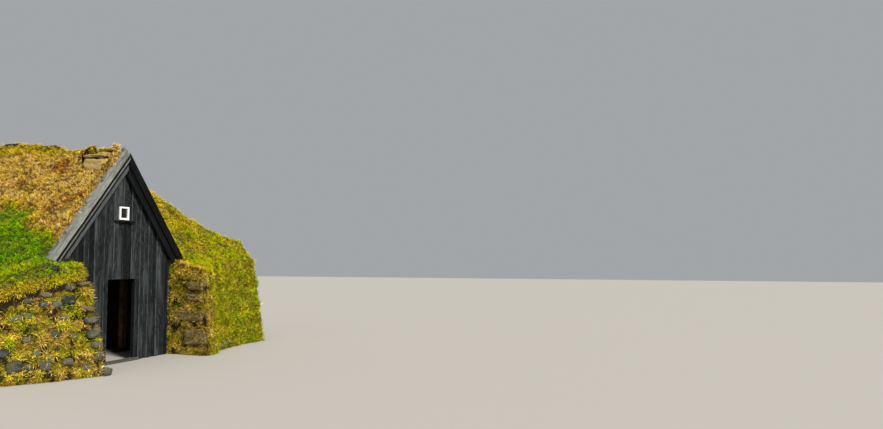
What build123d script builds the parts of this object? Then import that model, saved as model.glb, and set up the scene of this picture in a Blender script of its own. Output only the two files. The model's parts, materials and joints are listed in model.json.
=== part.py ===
"""Turf house: one unit of a row of gabled houses with turf-and-stone walls.

A tarred board front with an open doorway stands between the noses of two thick battered
walls. Behind it a pegged timber frame on pad stones carries roof boards and a turf roof.
The left wall stands free, and the right one fills the valley up to the party line.

X runs right along the front, Y back into the house and Z up. The origin is the middle of
the front on the ground, in the outer face of the boards. All sizes are in millimetres.
"""

import os
from math import cos, radians, sin, tan

from build123d import *

# House as a whole
room_half_width = 1520
room_length = 5200
wall_left = 1880
wall_right = 2880
back_wall_thickness = 1600
nose_reach = 1080
return_cover = 120
batter = 12
left_nose_batter = 13.5
right_nose_batter = 6

# Roof line: top edges of the bargeboards, underside of the cap boards
eave_height = 2045
pitch_left = 51.5
pitch_right = 52.2
eave_reach_left = 230
eave_reach_right = 130
turf_under_cap = 120
roof_board = 30
board_seat = 180
ridge_turf = 275
eave_turf = 230
shoulder_low = 1060
shoulder_dip = 60
bank_height = 3820
bank_start = 520
bank_pitch = 53
valley_height = 2600
lump_spacing = 710
lump_height = 60
ridge_swell = 170
ridge_swell_start = 1700
ridge_swell_length = 3900

# Walls and turf
stone_top = 1710
stone_top_fall = 14
back_stone_top = 1920
nose_top = 2040

# Bargeboards and cap boards
barge_thickness = 45
barge_front = 150
outer_barge_left = 80
outer_barge_right = 160
inner_barge_left = 215
inner_barge_right = 290
cap_thickness = 30
cap_width = 300
cap_overhang = 5
cap_setback_right = 100
cap_past_ridge = 115
cap_corner = 35

# Boarded front and door frame
boards = 45
door_width = 740
door_offset = 30
door_height = 1680
post_face = 75
post_depth = 120
threshold_height = 55
threshold_front = 50

# Window
window_width = 250
window_offset = 20
window_height = 270
window_sill = 2885
window_bar = 32
window_proud = 15
pane_thickness = 5
ledge_length = 530
ledge_depth = 60
ledge_thickness = 25

# Timber frame
frame_count = 5
timber = 120
plate_height = 100
plate_inset = 70
rafter_depth = 110
rafter_width = 75
ridge_board = 40
ridge_board_depth = 160
collar_bottom = 2620
collar_height = 100
rail_height = 100
sill_height = 100
pad_height = 80
pad_width = 250

# Bare patch where the turf slipped off the slabs beside the peak
patch_start = 120
patch_end = 900
patch_top = 150
patch_bottom = 560
slab_count = 3
slab_thickness = 45
slab_gap = 18

# Worked out from the sizes above
far = 20000
back_face = room_length + back_wall_thickness
left_face = -(room_half_width + wall_left)
party_line = room_half_width + wall_right
doorway_return = room_half_width - return_cover
eave_left = room_half_width + eave_reach_left
eave_right = room_half_width + eave_reach_right
roof_peak = eave_height + eave_left * tan(radians(pitch_left))
barge_back = -barge_front + 2 * barge_thickness
boards_under = turf_under_cap + roof_board
rafters_under = boards_under + rafter_depth
door_left = door_offset - door_width / 2
door_right = door_offset + door_width / 2
frame_left = door_left - post_face
frame_right = door_right + post_face


def block(x, y, z):
    """Box between two corners, given as ranges."""
    size = (x[1] - x[0], y[1] - y[0], z[1] - z[0])
    middle = (sum(x) / 2, sum(y) / 2, sum(z) / 2)
    return Pos(*middle) * Box(*size)


def across(outline, y):
    """Solid with the given X-Z outline between two values of Y."""
    face = make_face(Polyline(*[(x, y[0], z) for x, z in outline], close=True))
    return extrude(face, amount=y[1] - y[0], dir=(0, 1, 0))


def roof_z(side, x, depth=0):
    """Height at distance x down from the ridge of a plane below the roof line."""
    pitch = pitch_left if side < 0 else pitch_right
    return roof_peak - depth / cos(radians(pitch)) - tan(radians(pitch)) * x


def slope_strip(side, top, bottom, run, y, head=0):
    """Board or layer on one slope between two depths under the roof line, cut square
    at its foot and plumb at the ridge."""
    pitch = radians(pitch_left if side < 0 else pitch_right)
    foot = roof_z(side, run, 0)
    outline = [
        (side * head, roof_z(side, head, top)),
        (side * (run - top * sin(pitch)), foot - top * cos(pitch)),
        (side * (run - bottom * sin(pitch)), foot - bottom * cos(pitch)),
        (side * head, roof_z(side, head, bottom)),
    ]
    return across(outline, y)


def under_plane(side, depth, run, y):
    """Everything on one side of the ridge that lies below a plane of the roof."""
    outline = [
        (0, roof_z(side, 0, depth)),
        (side * run, roof_z(side, run, depth)),
        (side * run, -far),
        (0, -far),
    ]
    return across(outline, y)


# Turf surface and battered walls


def arcs(points):
    """Chain of arcs, each through three of the points in turn."""
    return [ThreePointArc(*points[i : i + 3]) for i in range(0, len(points) - 2, 2)]


def battered_walls():
    """Outer faces of all the walls, leaning in as they rise, cut plumb at the party line.
    Each corner of a nose is a share of the wall's thickness, a share of how far the nose
    stands forward, and the ways that the corner leans, right and back, as it rises."""
    lean = tan(radians(batter))
    left_nose = tan(radians(left_nose_batter))
    right_nose = tan(radians(right_nose_batter))
    left = [
        (1, -0.88, lean, 0),
        (0.91, -0.19, lean, 0.3 * lean),
        (0.69, 0.35, 0.6 * lean, 0.8 * lean),
        (0.37, 0.69, 0.2 * lean, left_nose),
        (0, 0.94, 0, left_nose),
    ]
    right = [
        (0, 1, 0, right_nose),
        (0.13, 0.94, 0, right_nose),
        (0.33, 0.65, 0, 0.8 * lean),
        (0.62, 0.5, 0, 0.8 * lean),
        (1.5, 0.42, 0, 0.8 * lean),
    ]
    thick_left = -doorway_return - left_face
    thick_right = party_line - doorway_return
    corners = [(left_face, back_face, lean, -lean)]
    for share, forward, right_lean, back_lean in left:
        x = -doorway_return - share * thick_left
        corners.append((x, -forward * nose_reach, right_lean, back_lean))
    for share, forward, right_lean, back_lean in right:
        x = doorway_return + share * thick_right
        corners.append((x, -forward * nose_reach, right_lean, back_lean))
    corners.append((corners[-1][0], back_face, 0, -lean))
    height = roof_peak + 2 * ridge_turf
    outlines = []
    for z in (0, height):
        outlines.append(Polyline(*[(x + a * z, y + b * z, z) for x, y, a, b in corners], close=True))
    walls = loft([make_face(outline) for outline in outlines], ruled=True)
    return walls & block((-far, party_line), (-far, far), (0, far))


def swell(x, y):
    """Rise of the turf's top at a place seen from above: broad lumps and hollows all over,
    and a ridge that swells up along part of its length."""
    turn = radians(180) / lump_spacing
    lumps = sin(turn * (0.8 * x + 0.6 * y) + 2.4) + sin(turn * (0.5 * x - 0.85 * y) + 0.4)
    along = radians(180) * (y - ridge_swell_start) / ridge_swell_length
    beside_ridge = max(0, 1 - abs(x) / eave_left)
    ridge = max(0, sin(along)) if 0 < along < radians(180) else 0
    return 0.5 * lump_height * lumps + ridge_swell * ridge * beside_ridge


def turf_outline(y):
    """Outline at y of all that lies below the turf's top, from the left wall over the ridge
    to the valley."""
    ridge = roof_peak + ridge_turf
    edge = left_face - 0.1 * wall_left
    eave_top = roof_z(-1, eave_left) + eave_turf
    left = [(edge, shoulder_low)]
    for share in (0.75, 0.5, 0.25):
        x = -eave_left + share * (edge + eave_left)
        dip = shoulder_dip * sin(radians(180 * share))
        left.append((x, eave_top + share * (shoulder_low - eave_top) - dip))
    left.append((-eave_left, eave_top))
    for share, depth in ((0.8, 0.92), (0.6, 0.84), (0.4, 0.84), (0.22, 0.92), (0.1, 0.9)):
        left.append((-share * eave_left, roof_z(-1, share * eave_left) + depth * eave_turf))
    left.append((0, ridge))
    bank_edge = eave_right + 0.07 * wall_right
    right = [(0, ridge)]
    for share, drop in ((0.17, 0.39), (0.42, 0.73), (0.72, 0.88), (1, 1)):
        right.append((share * bank_edge, ridge - drop * (ridge - bank_height)))
    for share, up in ((0.27, 0.6), (0.54, 0.26), (0.77, 0.08), (1.07, -0.02)):
        x = bank_edge + share * (party_line - bank_edge)
        right.append((x, valley_height + up * (bank_height - valley_height)))
    tops = []
    for points in (left, right):
        tops.append(Spline(*[(x, y, z + swell(x, y)) for x, z in points]))
    floor = Polyline(tops[1] @ 1, (right[-1][0], y, -100), (left[0][0], y, -100), tops[0] @ 0)
    return make_face(tops + [floor])


def turf_profile():
    """All that lies below the turf's top, as stations along the house."""
    start = -2 * nose_reach
    count = round((back_face - start) / lump_spacing) + 2
    return loft([turf_outline(start + i * lump_spacing) for i in range(count)], ruled=True)


def front_bank():
    """Slope of the turf from the tops of the noses back to the roof, as a Y-Z solid."""
    foot = 0.23 * nose_reach
    high = roof_peak + 2 * ridge_turf
    top_y = foot + (high - nose_top - bank_start) / tan(radians(bank_pitch))
    rise = arcs(
        [
            (0, -2 * nose_reach, nose_top - 0.8 * bank_start),
            (0, -0.57 * nose_reach, nose_top - 0.2 * bank_start),
            (0, -0.14 * nose_reach, nose_top + 0.04 * bank_start),
            (0, 0.03 * nose_reach, nose_top + 0.38 * bank_start),
            (0, foot, nose_top + bank_start),
        ]
    )
    rest = Polyline(
        (0, foot, nose_top + bank_start),
        (0, top_y, high),
        (0, far / 2, high),
        (0, far / 2, -100),
        (0, -2 * nose_reach, -100),
        (0, -2 * nose_reach, nose_top - 0.8 * bank_start),
    )
    face = make_face(rise + [rest])
    return Pos(-far / 2, 0, 0) * extrude(face, amount=far, dir=(1, 0, 0))


def back_slope():
    """Everything in front of the turfed slope that closes the back."""
    top = roof_peak + 2 * ridge_turf
    outline = Polyline(
        (0, -far, -far),
        (0, -far, top),
        (0, room_length + 0.16 * back_wall_thickness, top),
        (0, back_face - 0.24 * back_wall_thickness, back_stone_top + 20),
        (0, back_face + 0.25 * back_wall_thickness, 0.8 * back_stone_top),
        (0, back_face + 0.25 * back_wall_thickness, -far),
        close=True,
    )
    return Pos(-far / 2, 0, 0) * extrude(make_face(outline), amount=far, dir=(1, 0, 0))


def verge_cover():
    """Turf over the roof boards near the front, where the slope of the bank ends."""
    y = (barge_back, far / 2)
    left = under_plane(-1, -turf_under_cap, eave_left, y)
    right = under_plane(1, -turf_under_cap, eave_right, y)
    return left + right


def mass():
    """Walls and turf as one lump, before the room and the pieces are cut."""
    top = front_bank() + verge_cover()
    return battered_walls() & turf_profile() & top & back_slope()


def stone_side(side):
    """Room for the stone part of a side wall, below its top plane."""
    fall = tan(radians(stone_top_fall)) if side < 0 else 0
    reach = far / 2
    outline = [
        (0, -100),
        (side * reach, -100),
        (side * reach, stone_top - fall * (reach - doorway_return)),
        (0, stone_top + fall * doorway_return),
    ]
    if outline[2][1] < -100:
        outline = [
            (0, -100),
            (side * (doorway_return + (stone_top + 100) / fall), -100),
            (0, stone_top + fall * doorway_return),
        ]
    return across(outline, (-far / 2, far / 2))


def beside_room(side):
    """Everything on one side of the room and of the doorway's recess."""
    front = block((doorway_return, far), (-far, 0), (-far, far))
    rear = block((room_half_width, far), (0, far), (-far, far))
    zone = front + rear
    return zone if side > 0 else mirror(zone, Plane.YZ)


# Timber


def bargeboard(side, outer):
    """One board of the stepped pair along the edge of the gable."""
    run = eave_left if side < 0 else eave_right
    outer_depth = outer_barge_left if side < 0 else outer_barge_right
    inner_depth = inner_barge_left if side < 0 else inner_barge_right
    front = -barge_front if outer else -barge_front + barge_thickness
    depth = outer_depth if outer else inner_depth
    return slope_strip(side, 0, depth, run, (front, front + barge_thickness))


def verge_cap(side):
    """Wide board over the edge of the roof, resting on the bargeboards and the turf. The left
    one laps past the ridge, with its end cut at a slant, and the right one meets it."""
    run = eave_left if side < 0 else eave_right
    if side < 0:
        front = -barge_front - cap_overhang
    else:
        front = -cap_setback_right
    y = (front, front + cap_width)
    if side > 0:
        return slope_strip(side, -cap_thickness, 0, run, y) - verge_cap(-1)
    cap = slope_strip(side, -cap_thickness, 0, run, y, -cap_past_ridge)
    corners = ((-cap_corner, y[0]), (cap_past_ridge, y[0]), (cap_past_ridge, y[1]))
    slant = make_face(Polyline(*corners, close=True))
    return cap - extrude(slant, amount=far)


def roof_boards(side):
    run = eave_left if side < 0 else eave_right
    y = (barge_back, room_length + board_seat)
    return slope_strip(side, turf_under_cap, boards_under, run, y)


def front_panel():
    """Whole boarded front up to the underside of the roof boards."""
    outline = [
        (-room_half_width, 0),
        (-room_half_width, roof_z(-1, room_half_width, boards_under)),
        (0, min(roof_z(-1, 0, boards_under), roof_z(1, 0, boards_under))),
        (room_half_width, roof_z(1, room_half_width, boards_under)),
        (room_half_width, 0),
    ]
    return across(outline, (0, boards))


def front_boards():
    """The front's three panels: beside the doorway and over it, with the window's hole."""
    panel = front_panel()
    frame_top = door_height + post_face
    y = (-boards, 2 * boards)
    hole = block(window_range(window_width), y, (window_sill, window_sill + window_height))
    left = panel & block((-far, frame_left), y, (0, far))
    right = panel & block((frame_right, far), y, (0, far))
    low = ridge().bounding_box().min.Z
    notch = block((-ridge_board / 2, ridge_board / 2), y, (low, far))
    top = (panel & block((frame_left, frame_right), y, (frame_top, far))) - hole - notch
    return {"front_boards_left": left, "front_boards_right": right, "front_boards_top": top}


def door_frame():
    y = (0, post_depth)
    z = (threshold_height, door_height)
    sill_y = (-threshold_front, post_depth)
    return {
        "door_post_left": block((frame_left, door_left), y, z),
        "door_post_right": block((door_right, frame_right), y, z),
        "door_head": block((frame_left, frame_right), y, (door_height, door_height + post_face)),
        "threshold": block((frame_left, frame_right), sill_y, (0, threshold_height)),
    }


def window_range(width):
    """Reach in X of a piece of that width in the middle of the window."""
    return (window_offset - width / 2, window_offset + width / 2)


def window():
    x = window_range(window_width)
    z = (window_sill, window_sill + window_height)
    y = (-window_proud, boards)
    inside_x = (x[0] + window_bar, x[1] - window_bar)
    inside_z = (z[0] + 1.3 * window_bar, z[1] - window_bar)
    ledge_z = (window_sill - 20 - ledge_thickness, window_sill - 20)
    frame = block(x, y, z) - block(inside_x, (-far, far), inside_z)
    return {
        "window_frame": frame,
        "window_pane": block(inside_x, (boards / 2, boards / 2 + pane_thickness), inside_z),
        "window_ledge": block(window_range(ledge_length), (-ledge_depth, 0), ledge_z),
    }


def frame_places():
    """Front face of each frame of posts, rafters and collar."""
    last = room_length - timber - 100
    step = (last - boards) / (frame_count - 1)
    return [boards + i * step for i in range(frame_count)]


def plate_top(side):
    """Top of a wall plate, where the middle of it meets the rafters' undersides."""
    return roof_z(side, room_half_width - plate_inset, rafters_under)


def plate_range(side):
    x = side * (room_half_width - plate_inset)
    return (x - timber / 2, x + timber / 2)


def wall_plate(side):
    z = (plate_top(side) - plate_height, plate_top(side))
    return block(plate_range(side), (boards, room_length), z)


def posts(side):
    z = (pad_height, plate_top(side) - plate_height)
    return [block(plate_range(side), (y, y + timber), z) for y in frame_places()]


def pad_stones(side):
    """Flat stones under the posts, with broken top edges."""
    wall = side * room_half_width
    inner = wall - side * pad_width
    stones = []
    for y in frame_places():
        middle = y + timber / 2
        front = max(middle - pad_width / 2, boards + sill_height)
        front = boards if y == boards else front
        stone = block(sorted((wall, inner)), (front, middle + pad_width / 2), (0, pad_height))
        stones.append(chamfer(stone.faces().sort_by(Axis.Z)[-1].edges(), 15))
    return stones


def rafters(side):
    """Rafters notched over the wall plate and butted against the ridge board."""
    plate = wall_plate(side)
    made = []
    for y in frame_places():
        width = (y, y + rafter_width)
        rafter = slope_strip(side, boards_under, rafters_under, far / 4, width, ridge_board / 2)
        rafter &= block((-room_half_width, room_half_width), (-far, far), (0, far))
        made.append(rafter - plate)
    return made


def collars():
    """Tie between the rafters of each frame, cut to their slopes."""
    z = (collar_bottom, collar_bottom + collar_height)
    made = []
    for y in frame_places():
        width = (y, y + rafter_width)
        tie = block((-room_half_width, room_half_width), width, z)
        zone = under_plane(-1, rafters_under, far / 4, width)
        zone += under_plane(1, rafters_under, far / 4, width)
        made.append(tie & zone)
    return made


def ridge():
    half = ridge_board / 2
    top = min(roof_z(-1, half, boards_under), roof_z(1, half, boards_under))
    return block((-half, half), (barge_back, room_length), (top - ridge_board_depth, top))


def rail():
    """Rail behind the boards over the doorway, between the first posts."""
    reach = room_half_width - plate_inset - timber / 2
    low = door_height + post_face
    return block((-reach, reach), (boards, boards + rafter_width), (low, low + rail_height))


def sills():
    """Sill pieces behind the foot of the boards, from the first pad stone to the door frame."""
    reach = room_half_width - pad_width
    y = (boards, boards + sill_height)
    return {
        "sill_left": block((-reach, frame_left), y, (0, sill_height)),
        "sill_right": block((frame_right, reach), y, (0, sill_height)),
    }


def slabs():
    """Flat slabs bare of turf on the left slope, in courses along the ridge."""
    pitch = radians(pitch_left)
    course = (patch_bottom - patch_top - (slab_count - 1) * slab_gap) / slab_count
    made = []
    for i in range(slab_count):
        start = patch_top + i * (course + slab_gap)
        strip = slope_strip(
            -1,
            turf_under_cap - slab_thickness,
            turf_under_cap,
            eave_left,
            (patch_start, patch_end - 60 * i),
        )
        reach = (-(start + course) * cos(pitch), -start * cos(pitch))
        made.append(strip & block(reach, (-far, far), (-far, far)))
    return made


def bare_patch():
    """Turf that slipped away over the slabs."""
    pitch = radians(pitch_left)
    layer = slope_strip(-1, -far / 10, turf_under_cap, eave_left, (patch_start, patch_end))
    reach = (-patch_bottom * cos(pitch), -patch_top * cos(pitch))
    return layer & block(reach, (-far, far), (-far, far))


# Whole house


def timber_parts():
    parts = {}
    parts.update(front_boards())
    parts.update(door_frame())
    parts.update(window())
    parts.update(sills())
    parts["front_rail"] = rail()
    parts["ridge_board"] = ridge()
    parts["collar_beams"] = collars()
    for side, name in ((-1, "left"), (1, "right")):
        parts["bargeboard_outer_" + name] = bargeboard(side, True)
        parts["bargeboard_inner_" + name] = bargeboard(side, False)
        parts["verge_cap_" + name] = verge_cap(side)
        parts["roof_boards_" + name] = roof_boards(side)
        parts["wall_plate_" + name] = wall_plate(side)
        parts["posts_" + name] = posts(side)
        parts["pad_stones_" + name] = pad_stones(side)
        parts["rafters_" + name] = rafters(side)
    return parts


def earth_parts(timbers):
    """Walls and turf, cut from one lump so that the pieces meet face to face."""
    lump = mass()
    parts = {}
    eaves = {-1: eave_left + 70, 1: eave_right + 70}
    inside = block((-room_half_width, room_half_width), (room_length, far), (-far, far))
    behind = (barge_back, far / 2)
    for side, name in ((-1, "left"), (1, "right")):
        above = block((0, eaves[side]), behind, (0, far))
        above = above if side > 0 else mirror(above, Plane.YZ)
        above -= under_plane(side, turf_under_cap, far / 4, behind)
        wall = lump & beside_room(side)
        stone = stone_side(side)
        cut = [
            timbers["bargeboard_outer_" + name],
            timbers["bargeboard_inner_" + name],
            timbers["verge_cap_" + name],
            timbers["roof_boards_" + name],
        ]
        clear_cap = slope_strip(side, -far / 10, 0, far / 4, (-far, cap_back(side)))
        parts[name + "_wall"] = wall & stone
        parts[name + "_turf"] = wall - stone - above - cut
        parts["roof_turf_" + name] = (lump & above) - clear_cap - cut
    parts["roof_turf_left"] -= bare_patch()
    under_turf = [under_plane(side, turf_under_cap, far / 4, behind) for side in (-1, 1)]
    gable = lump & inside & (under_turf[0] + under_turf[1])
    gable -= [timbers["roof_boards_left"], timbers["roof_boards_right"]]
    low = block((-far, far), (-far, far), (-far, back_stone_top))
    parts["back_wall"] = gable & low
    parts["back_turf"] = gable - low
    return parts


def cap_back(side):
    """Back edge of a cap board, where the open turf begins."""
    front = -barge_front - cap_overhang if side < 0 else -cap_setback_right
    return front + cap_width


def main():
    os.makedirs("parts", exist_ok=True)
    parts = timber_parts()
    parts["roof_slabs"] = slabs()
    parts.update(earth_parts(parts))
    for name, shape in parts.items():
        solids = shape if isinstance(shape, list) else [shape]
        solids = [piece for item in solids for piece in item.solids()]
        whole = solids[0] if len(solids) == 1 else Compound(solids)
        export_step(whole, "parts/" + name + ".step")


main()
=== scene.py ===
"""Looks of the turf house: boards, stones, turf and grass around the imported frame.

Metres, X right along the front, Y back into the house, Z up. The origin is the middle of
the front on the ground, in the outer face of the boards. Side -1 is left and 1 is right.
"""

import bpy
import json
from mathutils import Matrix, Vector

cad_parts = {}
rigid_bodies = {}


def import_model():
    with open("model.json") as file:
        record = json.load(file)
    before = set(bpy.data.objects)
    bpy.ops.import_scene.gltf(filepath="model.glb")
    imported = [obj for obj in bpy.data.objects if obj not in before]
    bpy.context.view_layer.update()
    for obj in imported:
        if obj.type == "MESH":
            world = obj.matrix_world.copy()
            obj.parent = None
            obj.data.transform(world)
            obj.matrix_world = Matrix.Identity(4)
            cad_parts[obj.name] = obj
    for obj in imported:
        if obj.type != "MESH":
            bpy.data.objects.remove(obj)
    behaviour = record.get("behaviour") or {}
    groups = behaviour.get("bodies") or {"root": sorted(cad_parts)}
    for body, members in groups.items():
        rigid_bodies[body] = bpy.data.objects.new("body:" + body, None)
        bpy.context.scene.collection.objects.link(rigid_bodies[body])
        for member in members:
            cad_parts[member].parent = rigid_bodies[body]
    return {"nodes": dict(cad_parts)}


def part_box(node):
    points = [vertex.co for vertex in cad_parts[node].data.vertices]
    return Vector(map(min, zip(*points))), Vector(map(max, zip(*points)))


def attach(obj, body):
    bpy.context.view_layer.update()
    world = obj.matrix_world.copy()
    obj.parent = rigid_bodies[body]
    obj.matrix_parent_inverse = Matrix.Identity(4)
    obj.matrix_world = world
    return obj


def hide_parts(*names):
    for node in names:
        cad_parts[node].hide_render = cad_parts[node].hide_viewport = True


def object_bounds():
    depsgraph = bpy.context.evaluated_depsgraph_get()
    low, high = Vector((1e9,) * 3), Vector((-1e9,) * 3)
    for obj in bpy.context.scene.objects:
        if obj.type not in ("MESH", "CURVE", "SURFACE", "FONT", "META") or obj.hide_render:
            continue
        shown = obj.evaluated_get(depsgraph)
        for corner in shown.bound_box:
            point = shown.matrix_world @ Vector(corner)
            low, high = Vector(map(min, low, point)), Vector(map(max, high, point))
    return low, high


bl_info = {
    "name": "Turf house",
    "version": (1, 0, 0),
    "blender": (4, 5, 0),
    "location": "View3D > Sidebar > Turf house",
    "description": "Dresses the turf house's frame with boards, stones, turf and grass",
    "category": "Object",
}

import json
import math
import random

import bmesh
import bpy
from mathutils import Euler, Vector, noise
from mathutils.bvhtree import BVHTree

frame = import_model()
CAD_BOX = [list(corner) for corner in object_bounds()]
# The unevenness of boards comes out the same each time
noise.seed_set(1)

# Places read from the frame
PARTY_LINE = CAD_BOX[1][0]
PANEL_LOW, PANEL_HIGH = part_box("front_boards_left")
HALF_ROOM, BOARDS_BACK = -PANEL_LOW.x, PANEL_HIGH.y
POSTS = (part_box("door_post_left"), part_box("door_post_right"))
DOOR_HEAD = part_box("door_head")
DOOR = (POSTS[0][1].x, POSTS[1][0].x, 0.0, DOOR_HEAD[0].z)
FRAME_LOW, FRAME_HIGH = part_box("window_frame")
WINDOW = (FRAME_LOW.x, FRAME_HIGH.x, FRAME_LOW.z, FRAME_HIGH.z)
SIDES = {-1: "left", 1: "right"}
OUTER = {side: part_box("bargeboard_outer_" + name) for side, name in SIDES.items()}
PEAK = OUTER[-1][1].z
EAVE = {side: max(side * corner.x for corner in OUTER[side]) for side in SIDES}
CAPS = {side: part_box("verge_cap_" + name) for side, name in SIDES.items()}
CAP_BACK = {side: CAPS[side][1].y for side in SIDES}
CAP_PAST = CAPS[-1][1].x
BACK_WALL, RIGHT_WALL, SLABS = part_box("back_wall"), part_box("right_wall"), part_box("roof_slabs")
ROOM_END, BACK_STONE_TOP = BACK_WALL[0].y, BACK_WALL[1].z
RETURN, STONE_TOP = RIGHT_WALL[0].x, RIGHT_WALL[1].z

# Sizes that the frame's boxes don't give
PITCH = {-1: math.radians(51.5), 1: math.radians(52.2)}
STONE_FALL = math.tan(math.radians(14))
BOARDS_UNDER = 0.15
BOARDS_END = 0.26
CAP_THICK = 0.03
CAP_CORNER = 0.035
GAP = 0.004


def linear(code):
    """Linear RGBA of an sRGB hex colour such as "8A4A1A"."""
    channels = [int(code[i : i + 2], 16) / 255 for i in (0, 2, 4)]
    return (*(c / 12.92 if c <= 0.04045 else ((c + 0.055) / 1.055) ** 2.4 for c in channels), 1.0)


def roof_z(side, x, depth=0.0):
    """Height of a plane of one roof slope, so deep under the roof line, at x from the ridge."""
    return PEAK - depth / math.cos(PITCH[side]) - math.tan(PITCH[side]) * abs(x)


def side_of(x):
    return -1 if x < 0 else 1


def blend(value, low, high):
    """0 below low, 1 above high, and smooth between."""
    t = min(max((value - low) / (high - low), 0.0), 1.0)
    return t * t * (3 - 2 * t)


# Settings that a user would change


def colour(name, code, what):
    """Colour setting, with its sRGB hex default."""
    return bpy.props.FloatVectorProperty(
        name=name, description=what, subtype="COLOR", size=4, min=0.0, max=1.0,
        default=linear(code),
    )


def distance(name, metres, what):
    """Length setting."""
    return bpy.props.FloatProperty(name=name, description=what, default=metres, unit="LENGTH")


class FinishSettings(bpy.types.PropertyGroup):
    # Tar black is also the colour of the painted shadow on the left slope's bargeboards
    tar: colour("Tar", "08090B", "Boards where the tar has kept")
    tar_streak: colour("Tar streak", "191D20", "Grain where the tar is thin")
    tar_worn: colour("Worn tar", "454B4E", "Edges and grain with the tar rubbed off")
    silver: colour("Silvered pine", "868A87", "Bare boards over the roof's edge")
    silver_pale: colour("Pale grain", "B4B8B0", "Bleached grain of those boards")
    silver_dark: colour("Dark grain", "34363A", "Cracks and knots of those boards")
    green: colour("Green grass", "468400", "Greenest blades")
    lime: colour("Lime grass", "7CA800", "Fresh blades turning yellow")
    olive: colour("Yellow green grass", "B0B400", "Half dry blades")
    yellow: colour("Yellow grass", "CAB812", "Dry blades that keep some green")
    tan: colour("Tan grass", "D4A83A", "Dry blades")
    straw: colour("Straw", "E4C878", "Bleached blades")
    rust: colour("Rust", "9A4A14", "Withered sorrel and moss in patches")
    soil: colour("Soil", "2A2114", "Soil between tufts and in gaps")
    thatch: colour("Thatch", "6A5A24", "Matted dead grass under the tufts")
    stone: colour("Basalt", "5C5C4C", "Stones of the walls")
    stone_dark: colour("Dark basalt", "2A2E30", "Darkest stones")
    stone_warm: colour("Warm basalt", "665A42", "Brownest stones")
    lichen: colour("Lichen", "8E8868", "Pale lichen on stones")
    slab: colour("Bleached slab", "A8925C", "Flat stones bare of turf")
    slab_dark: colour("Slab hollows", "7A6640", "Darker parts of those stones")
    dried: colour("Dried turf", "7C6E42", "Cut blocks of old turf")
    dried_dark: colour("Turf fibres", "3A2E1C", "Gaps between fibres of those blocks")
    timber: colour("Old timber", "7C6240", "Timber inside")
    timber_dark: colour("Dark timber", "4A3520", "Darker bands of that timber")
    step: colour("Threshold", "8A8668", "Threshold rubbed by feet")
    paint: colour("White paint", "F4F4F2", "Window bars")
    # Painted shade: the pane's colour is the near black of the dark room behind it
    pane: colour("Pane", "05070E", "Window glass before a dark room")


class BoardSettings(bpy.types.PropertyGroup):
    pitch: distance("Batten pitch", 0.2435, "Distance between the battens of the front")
    batten_width: distance("Batten width", 0.11, "Width of the boards over the joints")
    lap: distance("Lap", 0.03, "How far a batten covers the board beside it")
    thick: distance("Board thickness", 0.022, "Thickness of the front's boards")
    first: distance("First batten", -1.34, "Right edge of the first batten from the middle")


class EarthSettings(bpy.types.PropertyGroup):
    grid: distance("Grid", 0.05, "Size of the faces of turf and walls")
    broad: distance("Broad lumps", 0.02, "Height of lumps about a metre across")
    middle: distance("Middle lumps", 0.03, "Height of lumps about a foot across")
    small: distance("Small lumps", 0.018, "Height of lumps about a hand across")
    course: distance("Course height", 0.29, "Height of a course of turf in the walls")
    bulge: distance("Course bulge", 0.022, "How far each course bulges")
    room: distance("Room for grass", 0.045, "How far the ground lies inside the packed shape")


class GrassSettings(bpy.types.PropertyGroup):
    density: bpy.props.FloatProperty(
        name="Tufts per square metre", default=460.0,
        description="Tufts on turf that shows well; other places have a share of it",
    )
    length: distance("Blade length", 0.08, "Length of blades on the roof and the wall tops")
    wall_length: distance("Wall blade length", 0.1, "Length of blades that hang from walls")
    blades: bpy.props.IntProperty(
        name="Blades in a tuft", description="Blades of each tuft", default=10, min=4, max=20
    )


class StoneSettings(bpy.types.PropertyGroup):
    density: bpy.props.FloatProperty(
        name="Stones per square metre", default=6.0,
        description="Stones in the walls beside and behind the house",
    )
    size: distance("Stone size", 0.2, "Width of those stones")


# Materials


def add(tree, kind, inputs=(), out=0, stops=None, **settings):
    """Adds a node, sets its properties and a ramp's stops, and sets or links its inputs,
    which are a list in the node's order or a dict. Gives one output, or the node."""
    node = tree.nodes.new(kind)
    for name, value in settings.items():
        setattr(node, name, value)
    if stops:
        elements = node.color_ramp.elements
        while len(elements) < len(stops):
            elements.new(1.0)
        for element, (place, shade) in zip(elements, stops):
            element.position = place
            element.color = shade
    for key, value in inputs.items() if isinstance(inputs, dict) else enumerate(inputs):
        if isinstance(value, bpy.types.NodeSocket):
            tree.links.new(value, node.inputs[key])
        else:
            node.inputs[key].default_value = value
    return node if out is None else node.outputs[out]


def varied(tree, value, operation, *sources):
    """A value that sources are added to, or multiplied with, one after another. Each source
    goes from one pair of values to another."""
    for source, *ramp in sources:
        swing = add(tree, "ShaderNodeMapRange", [source, *ramp])
        value = add(tree, "ShaderNodeMath", [value, swing], operation=operation)
    return value


def layered(tree, shade, *layers):
    """Colours laid over a shade one after another. Each layer has its mask, the pairs of
    values that the mask goes from and to unless it is used as it is, and its colour."""
    for mask, *ramp, over in layers:
        if ramp:
            mask = add(tree, "ShaderNodeMapRange", [mask, *ramp])
        shade = add(tree, "ShaderNodeMix", {0: mask, 6: shade, 7: over}, 2, data_type="RGBA")
    return shade


def marks(mm):
    """Scale of a texture whose marks are about so many millimetres apart."""
    return float(round(1000 / mm))


def turf_stops(look):
    """Stops of a ramp from green grass to straw."""
    shades = (look.green, look.lime, look.olive, look.yellow, look.tan, look.straw)
    return tuple(zip((0.0, 0.22, 0.42, 0.58, 0.78, 1.0), shades))


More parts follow.
